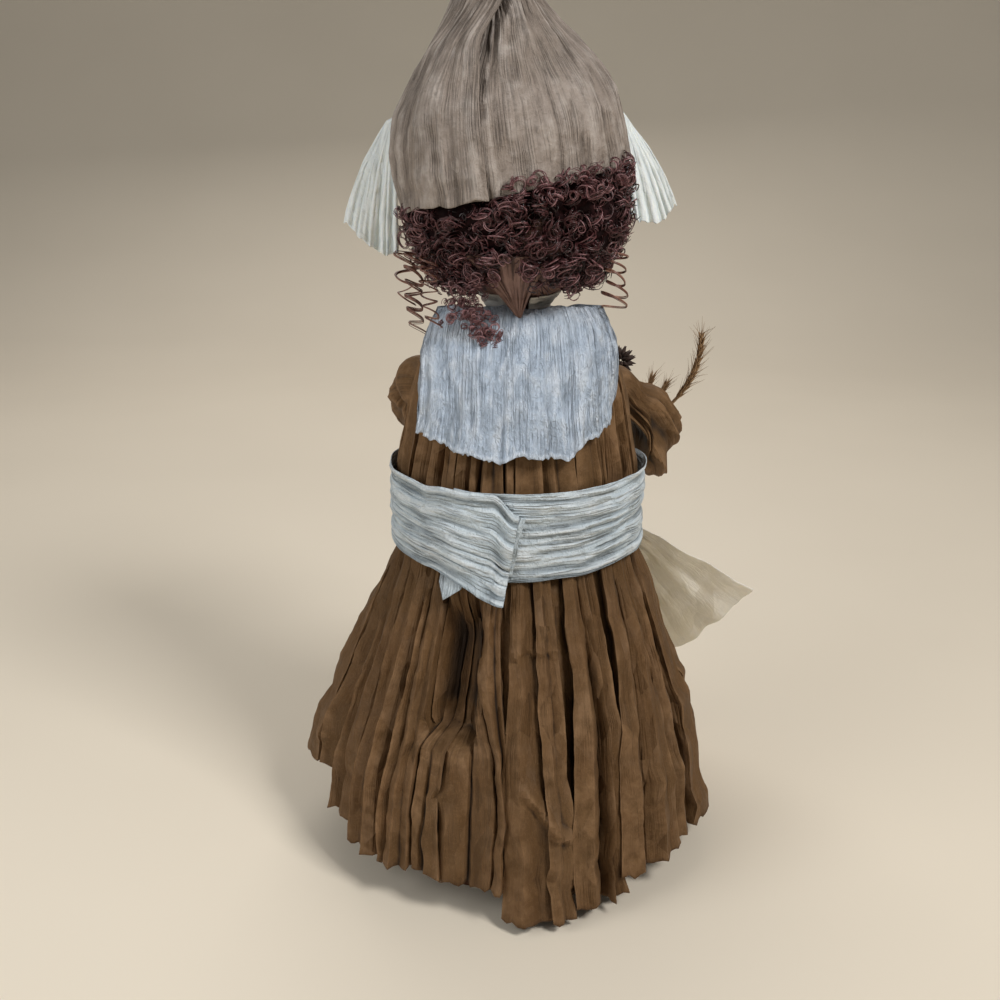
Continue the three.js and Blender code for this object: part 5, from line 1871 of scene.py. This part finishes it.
@dataclass
class Arm:
    """A puffed sleeve, gathered above the elbow and at the wrist, and a plain paper hand.

    puff is the sleeve's radius at the elbow, droop how far its low side hangs there, fold the depth of its folds,
    drop how far its root lies below the shoulder, lobe its radius at the shoulder, and clear the distance from
    the doll's axis that its low part keeps. gather_at and wrist_at are shares of the sleeve and of the forearm.
    """

    side: str
    shoulder: Place
    elbow: Place
    hand: Place
    seed: int
    gather_at: float = 0.27
    wrist_at: float = 0.93
    puff: float = 13.6
    droop: float = 0.0
    fold: float = 2.0
    drop: float = 1.0
    lobe: float = 9.0
    clear: float = 0.0

    def line(self, count: int) -> Array:
        """The middle line of the sleeve, from inside the shoulder to the wrist."""
        shoulder, elbow, hand = (np.array(p, float) for p in (self.shoulder, self.elbow, self.hand))
        root = shoulder + np.array([-7 * np.sign(shoulder[0]), 1.0, -self.drop])
        wrist = elbow + self.wrist_at * (hand - elbow)
        path = evenly([root, shoulder, elbow, wrist], count)
        ahead = 2 * path[:1] - path[count // 8 : 0 : -1]
        after = 2 * path[-1:] - path[-2 : -count // 8 - 2 : -1]
        wide = np.concatenate([ahead, path, after])
        for _ in range(2):
            wide = blurred(wide, count // 18, 0, False)
        return wide[len(ahead) : len(ahead) + count]

    def build(self, wardrobe: Wardrobe) -> None:
        """Make the sleeve and the hand.

        Args:
            wardrobe: the finishes.
        """
        rows, columns = 120, 150
        u, v = grid_of(rows, columns, True)
        path = self.line(rows)
        tangent = unit(np.gradient(path, axis=0))
        side, other = (across[0] for across in carried(tangent[None], np.array([[0.0, 0.0, 1.0]])))
        gather = self.gather_at
        profile = (
            (0, self.lobe - 2), (0.07, self.lobe), (0.16, self.lobe), (gather, 6.6), (gather + 0.06, 9.4),
            (0.46, self.puff), (0.6, self.puff), (0.76, 12), (0.88, 8.6), (0.95, 5.0), (1.0, 6.6),
        )
        rough = Noise(self.seed)
        radius = between(profile, v, 0.025)[0]
        drawn = np.exp(-(((v - gather) / 0.09) ** 2)) + np.exp(-(((v - 0.95) / 0.07) ** 2))
        folds = 1 - 2 * np.abs(rough(u * 8 + 1.5 * v, 1.3 * v, 8)) ** 0.7 + 0.5 * rough.creased(u * 18, 4 * v, 18)
        tight = rough.creased(u * 14, 1.4 * v, 14)
        radius = radius + self.fold * folds * ease(v, 0.12, 0.34) * (1 - 0.5 * drawn) + 1.0 * tight * drawn
        turn = 2 * math.pi * u[..., None]
        out = side[:, None] * np.cos(turn) + other[:, None] * np.sin(turn)
        hang = np.maximum(0, -out[..., 2]) ** 1.5 * np.exp(-(((v - 0.52) / 0.15) ** 2))
        fall = np.array([-0.22 * self.droop * np.sign(self.shoulder[0]), 0, -self.droop])
        points = path[:, None] + radius[..., None] * out + fall * hang[..., None]
        low = ease(-points[..., 2], -182, -165)
        far = np.hypot(points[..., 0], points[..., 1])
        wide = far + 0.8 * low * np.maximum(0, self.clear - far)
        points[..., :2] *= (wide / far)[..., None]
        sheet = Paper(points, ring=True, fold_deep=1.5, crisp=15.0)
        sheet.facet(self.seed + 1, (8, 9), 0.8)
        made = sheet.build(f"{self.side}_sleeve", wardrobe.brown)
        elbow = np.array(self.elbow)
        up = unit(elbow - np.array(self.shoulder))
        fore = unit(np.array(self.hand) - elbow)
        along = unit(up + fore)
        dress_across(
            made, "padded_brown_paper", (f"{self.side}_upper_arm", f"{self.side}_forearm"),
            (elbow - 9 * along, elbow + 9 * along), f"{self.side}_upper_sleeve", f"{self.side}_fore_sleeve",
        )
        self.mitten(wardrobe, fore)

    def mitten(self, wardrobe: Wardrobe, fore: Array) -> None:
        """Make the hand: a flattened palm with its fingers pressed together.

        Args:
            wardrobe: the finishes.
            fore: which way the forearm points.
        """
        elbow, hand = np.array(self.elbow), np.array(self.hand)
        wrist = elbow + fore * (self.wrist_at * np.linalg.norm(hand - elbow) - 2.5)
        across = unit(np.cross(fore, [0.0, 0.0, 1.0]))
        thick = np.cross(across, fore)
        u, v = grid_of(44, 48, True)
        turn = 2 * math.pi * u
        wide = between(((0, 2.6), (0.15, 3.6), (0.45, 5.2), (0.75, 4.6), (0.93, 2.6), (1, 0.25)), v, 0.04)[0]
        fingers = 0.35 * np.cos(8 * turn) * ease(v, 0.5, 0.75) * (1 - ease(v, 0.9, 1.0))
        x, y = (wide + fingers) * np.cos(turn), 0.62 * (wide + fingers) * np.sin(turn)
        far = 19.0 * v[..., None]
        palm = wrist + fore * far + across * x[..., None] + thick * y[..., None]
        sheet = Paper(palm, ring=True, thick=0.3, fold_deep=0.6)
        sheet.crumple(self.seed + 2, (6, 6), 0.25)
        made = sheet.build(f"{self.side}_hand_paper", wardrobe.skin)
        dress(made, "skin_paper", f"{self.side}_forearm", f"{self.side}_hand")


@dataclass
class Sheaf:
    """Dried grass in the right hand: short spikes, one long bowed ear, and a dark flower head."""

    side: Place = (0.927, 0.22, 0.304)
    spikes: tuple = (
        (
            (-45.041, -78.266, 127.907), (-52.392, -70.915, 144.993), (-55.332, -67.975, 151.827),
            (-55.819, -64.153, 158.753), (-56.218, -55.969, 173.203),
        ),
        (
            (-44.723, -82.048, 129.671), (-52.074, -74.697, 146.757), (-55.014, -71.757, 153.591),
            (-56.871, -69.136, 161.614), (-59.978, -64.246, 177.488),
        ),
        (
            (-45.512, -80.307, 128.582), (-52.863, -72.956, 145.668), (-55.803, -70.015, 152.502),
            (-59.088, -66.978, 160.317), (-65.284, -61.363, 175.136),
        ),
    )
    ear: tuple = (
        (-47.551, -80.79, 127.913), (-54.902, -73.439, 144.999), (-57.843, -70.499, 151.833),
        (-62.069, -67.083, 158.495), (-70.705, -60.338, 171.191),
    )
    flower: tuple = (
        (-43.473, -79.823, 129.251), (-50.824, -72.472, 146.337), (-53.764, -69.532, 153.172),
        (-52.271, -62.437, 165.979), (-45.355, -49.314, 187.89),
    )
    ear_long: float = 36.0
    ear_bow: float = 12.0

    @staticmethod
    def stalk(points: Sequence[Place], count: int = 40) -> Array:
        """A smooth line through a stalk's points."""
        path = evenly(points, count)
        middle = blurred(path, 3, 0, False)
        return np.concatenate([path[:1], middle[1:-1], path[-1:]])

    def grains(
        self, line: Array, aim: Array, count: int, radius: float, awn: float, seed: int
    ) -> tuple[Array, Array]:
        """Grains set round a line, each drawn out to an awn.

        Args:
            line: points along the ear.
            aim: the ear's direction at each point.
            count: number of grains.
            radius: thickness of a grain.
            awn: length of their awns.
            seed: start of the random row.

        Returns:
            The path of each grain and its awn, and the radius along it.
        """
        dice = np.random.default_rng(seed)
        k = np.linspace(0, len(line) - 1, count).round().astype(int)
        spin = SPIRAL * np.arange(count) + dice.normal(0, 0.25, count)
        reference = unit(np.cross(aim[k], np.array(self.side)))
        lateral = unit(np.cross(aim[k], reference))
        lean = reference * np.cos(spin)[:, None] + lateral * np.sin(spin)[:, None]
        share = np.linspace(0, 1, 12)
        t = share[None, :, None]
        body, tip = 4.2, awn * dice.uniform(0.6, 1.15, count)[:, None, None]
        way = unit(aim[k] + 0.34 * lean)[:, None]
        tail = unit(aim[k] + 0.5 * lean + dice.normal(0, 0.12, (count, 3)))[:, None]
        paths = line[k][:, None] + way * body * np.minimum(1, 2 * t) + tail * tip * np.maximum(0, 2 * t - 1)
        shape = np.interp(share, [0, 0.2, 0.45, 0.55, 1], [0.35, 1, 0.45, 0.16, 0.05])
        return paths, np.repeat(radius * shape[None], count, axis=0)

    def build(self, wardrobe: Wardrobe) -> None:
        """Make the grass and the flower.

        Args:
            wardrobe: the finishes.
        """
        for number, points in enumerate(self.spikes, start=1):
            line = self.stalk(points)
            aim = unit(line[-1] - line[-6])
            head = line[-1] + aim * np.linspace(-6, 3, 30)[:, None]
            self.grass(wardrobe, f"grass_spike_{number}", line, head, 20, 0.42, 5.0, 130 + number)
        line = self.stalk(self.ear)
        aim = unit(line[-1] - line[-6])
        rise = np.linspace(0, 1, 60)[:, None]
        head = line[-1] + aim * self.ear_long * rise + np.array(self.side) * self.ear_bow * rise**2
        self.grass(wardrobe, "grass_ear", line, head, 72, 0.68, 8.0, 137)
        self.flower_head(wardrobe)

    def grass(
        self,
        wardrobe: Wardrobe,
        node: str,
        line: Array,
        head: Array,
        count: int,
        radius: float,
        awn: float,
        seed: int,
    ) -> None:
        """Make one stalk with its seed head.

        Args:
            wardrobe: the finishes.
            node: the solid that it replaces.
            line: the stalk's middle line.
            head: the seed head's middle line.
            count: number of grains.
            radius: thickness of a grain.
            awn: length of the awns.
            seed: start of the random row.
        """
        aim = unit(np.gradient(head, axis=0))
        paths, radii = self.grains(head, aim, count, radius, awn, seed)
        whole = np.concatenate([line, head[1:]])
        steps = np.linspace(0, len(whole) - 1, 72)
        core = np.stack([np.interp(steps, np.arange(len(whole)), whole[:, k]) for k in range(3)], axis=-1)
        core_radius = np.interp(steps, [0, len(line), len(whole) - 1], [0.8, 0.75, 0.2])
        stalk = tubes(f"{node}_stalk", core[None], core_radius[None], 7, wardrobe.straw, np.array([0.5]))
        dress(stalk, "grass", "right_forearm", node)
        strand = np.random.default_rng(seed).random(count)
        made = tubes(f"{node}_grains", paths, radii, 5, wardrobe.straw, strand)
        dress(made, "grass", "right_forearm")

    def flower_head(self, wardrobe: Wardrobe) -> None:
        """Make the dark flower: scales in a spiral on a small dome, on its stalk."""
        line = self.stalk(self.flower)
        aim = unit(line[-1] - line[-6])
        thick = np.full((1, len(line)), 0.75)
        stalk = tubes("dried_flower_stalk", line[None], thick, 7, wardrobe.straw, np.array([0.4]))
        dress(stalk, "grass", "right_forearm")
        count = 46
        k = np.arange(count)
        polar = np.sqrt((k + 0.5) / count) * 1.9
        spin = SPIRAL * k
        side = unit(np.cross(aim, [0.0, 0.0, 1.0]))
        other = np.cross(aim, side)
        around = side * np.cos(spin)[:, None] + other * np.sin(spin)[:, None]
        normal = aim * np.cos(polar)[:, None] + around * np.sin(polar)[:, None]
        root = line[-1] + aim * 4.2 + normal * 2.8
        t = np.linspace(0, 1, 9)[None, :, None]
        curl = unit(normal + 0.8 * around)[:, None]
        paths = root[:, None] + normal[:, None] * 3.2 * t + curl * 1.1 * t**2
        radii = np.interp(np.linspace(0, 1, 9), [0, 0.4, 1], [0.7, 1.05, 0.12])[None] * np.ones((count, 1))
        strand = np.random.default_rng(141).random(count)
        made = tubes("dried_flower_scales", paths, radii, 6, wardrobe.flower, strand)
        dress(made, "flower", "right_forearm", "dried_flower")


# Stage


@dataclass
class Studio:
    """A pale floor, soft light and the camera."""

    place: Place = (0.007, 0.459, 0.298)
    pitch: float = 18.5
    lens: float = 43.2
    floor_tone: Colour = (230, 219, 201)

    def build(self) -> None:
        """Set the stage."""
        scene = bpy.context.scene
        scene.view_settings.view_transform = "Standard"
        camera = bpy.data.cameras.new("camera")
        camera.lens = self.lens
        camera.sensor_width = 36
        camera.clip_start = 0.01
        seen = bpy.data.objects.new("camera", camera)
        seen.location = self.place
        seen.rotation_euler = (math.radians(90 - self.pitch), 0, math.pi)
        scene.collection.objects.link(seen)
        scene.camera = seen
        self.floor()
        self.light("key", (-0.6, 0.6, 1.0), 10.2, 0.32, (1.0, 0.99, 0.975))
        self.light("fill", (0.6, 0.4, 0.5), 2.6, 0.5, (0.97, 0.99, 1.0))
        self.light("rear", (0.1, -0.9, 0.9), 5.0, 0.9, (1.0, 0.97, 0.93))
        scene.world = self.sky()

    @staticmethod
    def sky() -> bpy.types.World:
        """A dim even light, which the camera and mirrors see as a pale wall."""
        world = bpy.data.worlds.new("studio")
        world.use_nodes = True
        shader = Shader(world.node_tree)
        dim = world.node_tree.nodes["Background"]
        shader.settle(dim, {"Color": (1.0, 0.985, 0.96, 1.0), "Strength": 0.17})
        wall = shader.add("ShaderNodeBackground")
        shader.settle(wall, {"Color": (0.4, 0.375, 0.32, 1.0)})
        path = shader.add("ShaderNodeLightPath")
        seen = shader.math("MAXIMUM", path.outputs["Is Camera Ray"], path.outputs["Is Glossy Ray"])
        both = shader.add("ShaderNodeMixShader")
        shader.feed(both.inputs[0], shader.math("MAXIMUM", seen, path.outputs["Is Transmission Ray"]))
        shader.feed(both.inputs[1], dim.outputs[0])
        shader.feed(both.inputs[2], wall.outputs[0])
        shader.feed(world.node_tree.nodes["World Output"].inputs["Surface"], both.outputs[0])
        return world

    def floor(self) -> None:
        """Lay a wide floor that turns up beyond the doll, as the camera sees it."""
        u, v = grid_of(40, 8)
        run = np.interp(v, (0.0, 0.3, 1.0), (7.0, 0.5, -2.4))
        rise = np.maximum(0, -run - 0.9) ** 2 * 0.9
        points = np.stack([blend_of(-9, 9, u), run, rise - 0.0002], axis=-1) / MM
        material, shader, surface = new_material("pale_floor")
        cloud = shader.noise(shader.here(), 5.0, 2.0)
        other = tuple(c - 8 for c in self.floor_tone)
        tone = shader.mix(cloud, linear(self.floor_tone), linear(other))
        shader.settle(surface, {"Base Color": tone, "Roughness": 0.7})
        faces = quads(*u.shape)[2]
        new_object("floor", points, faces, material)

    @staticmethod
    def light(name: str, place: Place, power: float, size: float, tone: Place) -> None:
        """Hang a soft lamp that faces the doll.

        Args:
            name: its name.
            place: where it hangs, in metres.
            power: its power.
            size: the side of its square.
            tone: its colour.
        """
        lamp = bpy.data.lights.new(name, "AREA")
        lamp.energy = power
        lamp.size = size
        lamp.color = tone
        made = bpy.data.objects.new(name, lamp)
        made.location = place
        aim = np.array([0.0, 0.0, 0.17]) - np.array(place)
        flat = math.hypot(aim[0], aim[1])
        made.rotation_euler = (math.pi / 2 - math.atan2(-aim[2], flat), 0, math.atan2(aim[1], aim[0]) - math.pi / 2)
        bpy.context.scene.collection.objects.link(made)


def dress_core(frame: dict, wardrobe: Wardrobe) -> None:
    """Give the solids that stay their finishes.

    Args:
        frame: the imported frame.
        wardrobe: the finishes.
    """
    finishes = (
        (wardrobe.foam, ("foam_cone", "head_ball")),
        (wardrobe.wood, ("neck_dowel",)),
        (wardrobe.string, ("waist_string", "neck_string", "sheaf_string")),
        (wardrobe.wire, ("shoulder_wire", "left_upper_wire", "left_fore_wire")),
        (wardrobe.wire, ("right_upper_wire", "right_fore_wire")),
    )
    for material, names in finishes:
        for name in names:
            made = frame["nodes"][name]
            made.data.materials.clear()
            made.data.materials.append(material)
            log.info("%s keeps its solid", name)


def main() -> None:
    """Dress the doll, piece by piece."""
    logging.basicConfig(level=logging.INFO, format="%(name)s: %(message)s")
    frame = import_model()
    wardrobe = Wardrobe()
    Studio().build()
    for piece in (Skirt(), Bodice(), Sash(), Apron(), Collar(), NeckBand(), Head(), Wig()):
        piece.build(wardrobe)
    cap = Cap()
    cap.build(wardrobe)
    BonnetBand().build(wardrobe, cap)
    Arm(
        "left", (38, -10, 192), (45, -46, 172), (27, -72, 160), 151,
        puff=7.6, droop=8, fold=2.4, drop=2.0, lobe=10.4,
    ).build(wardrobe)
    Arm(
        "right", (-38, -10, 192), (-59, -32, 162), (-47, -66, 150), 161,
        puff=9.8, droop=13, fold=3.4, drop=7.0, lobe=7.6, clear=58,
    ).build(wardrobe)
    Sheaf().build(wardrobe)
    dress_core(frame, wardrobe)


if __name__ == "__main__":
    main()
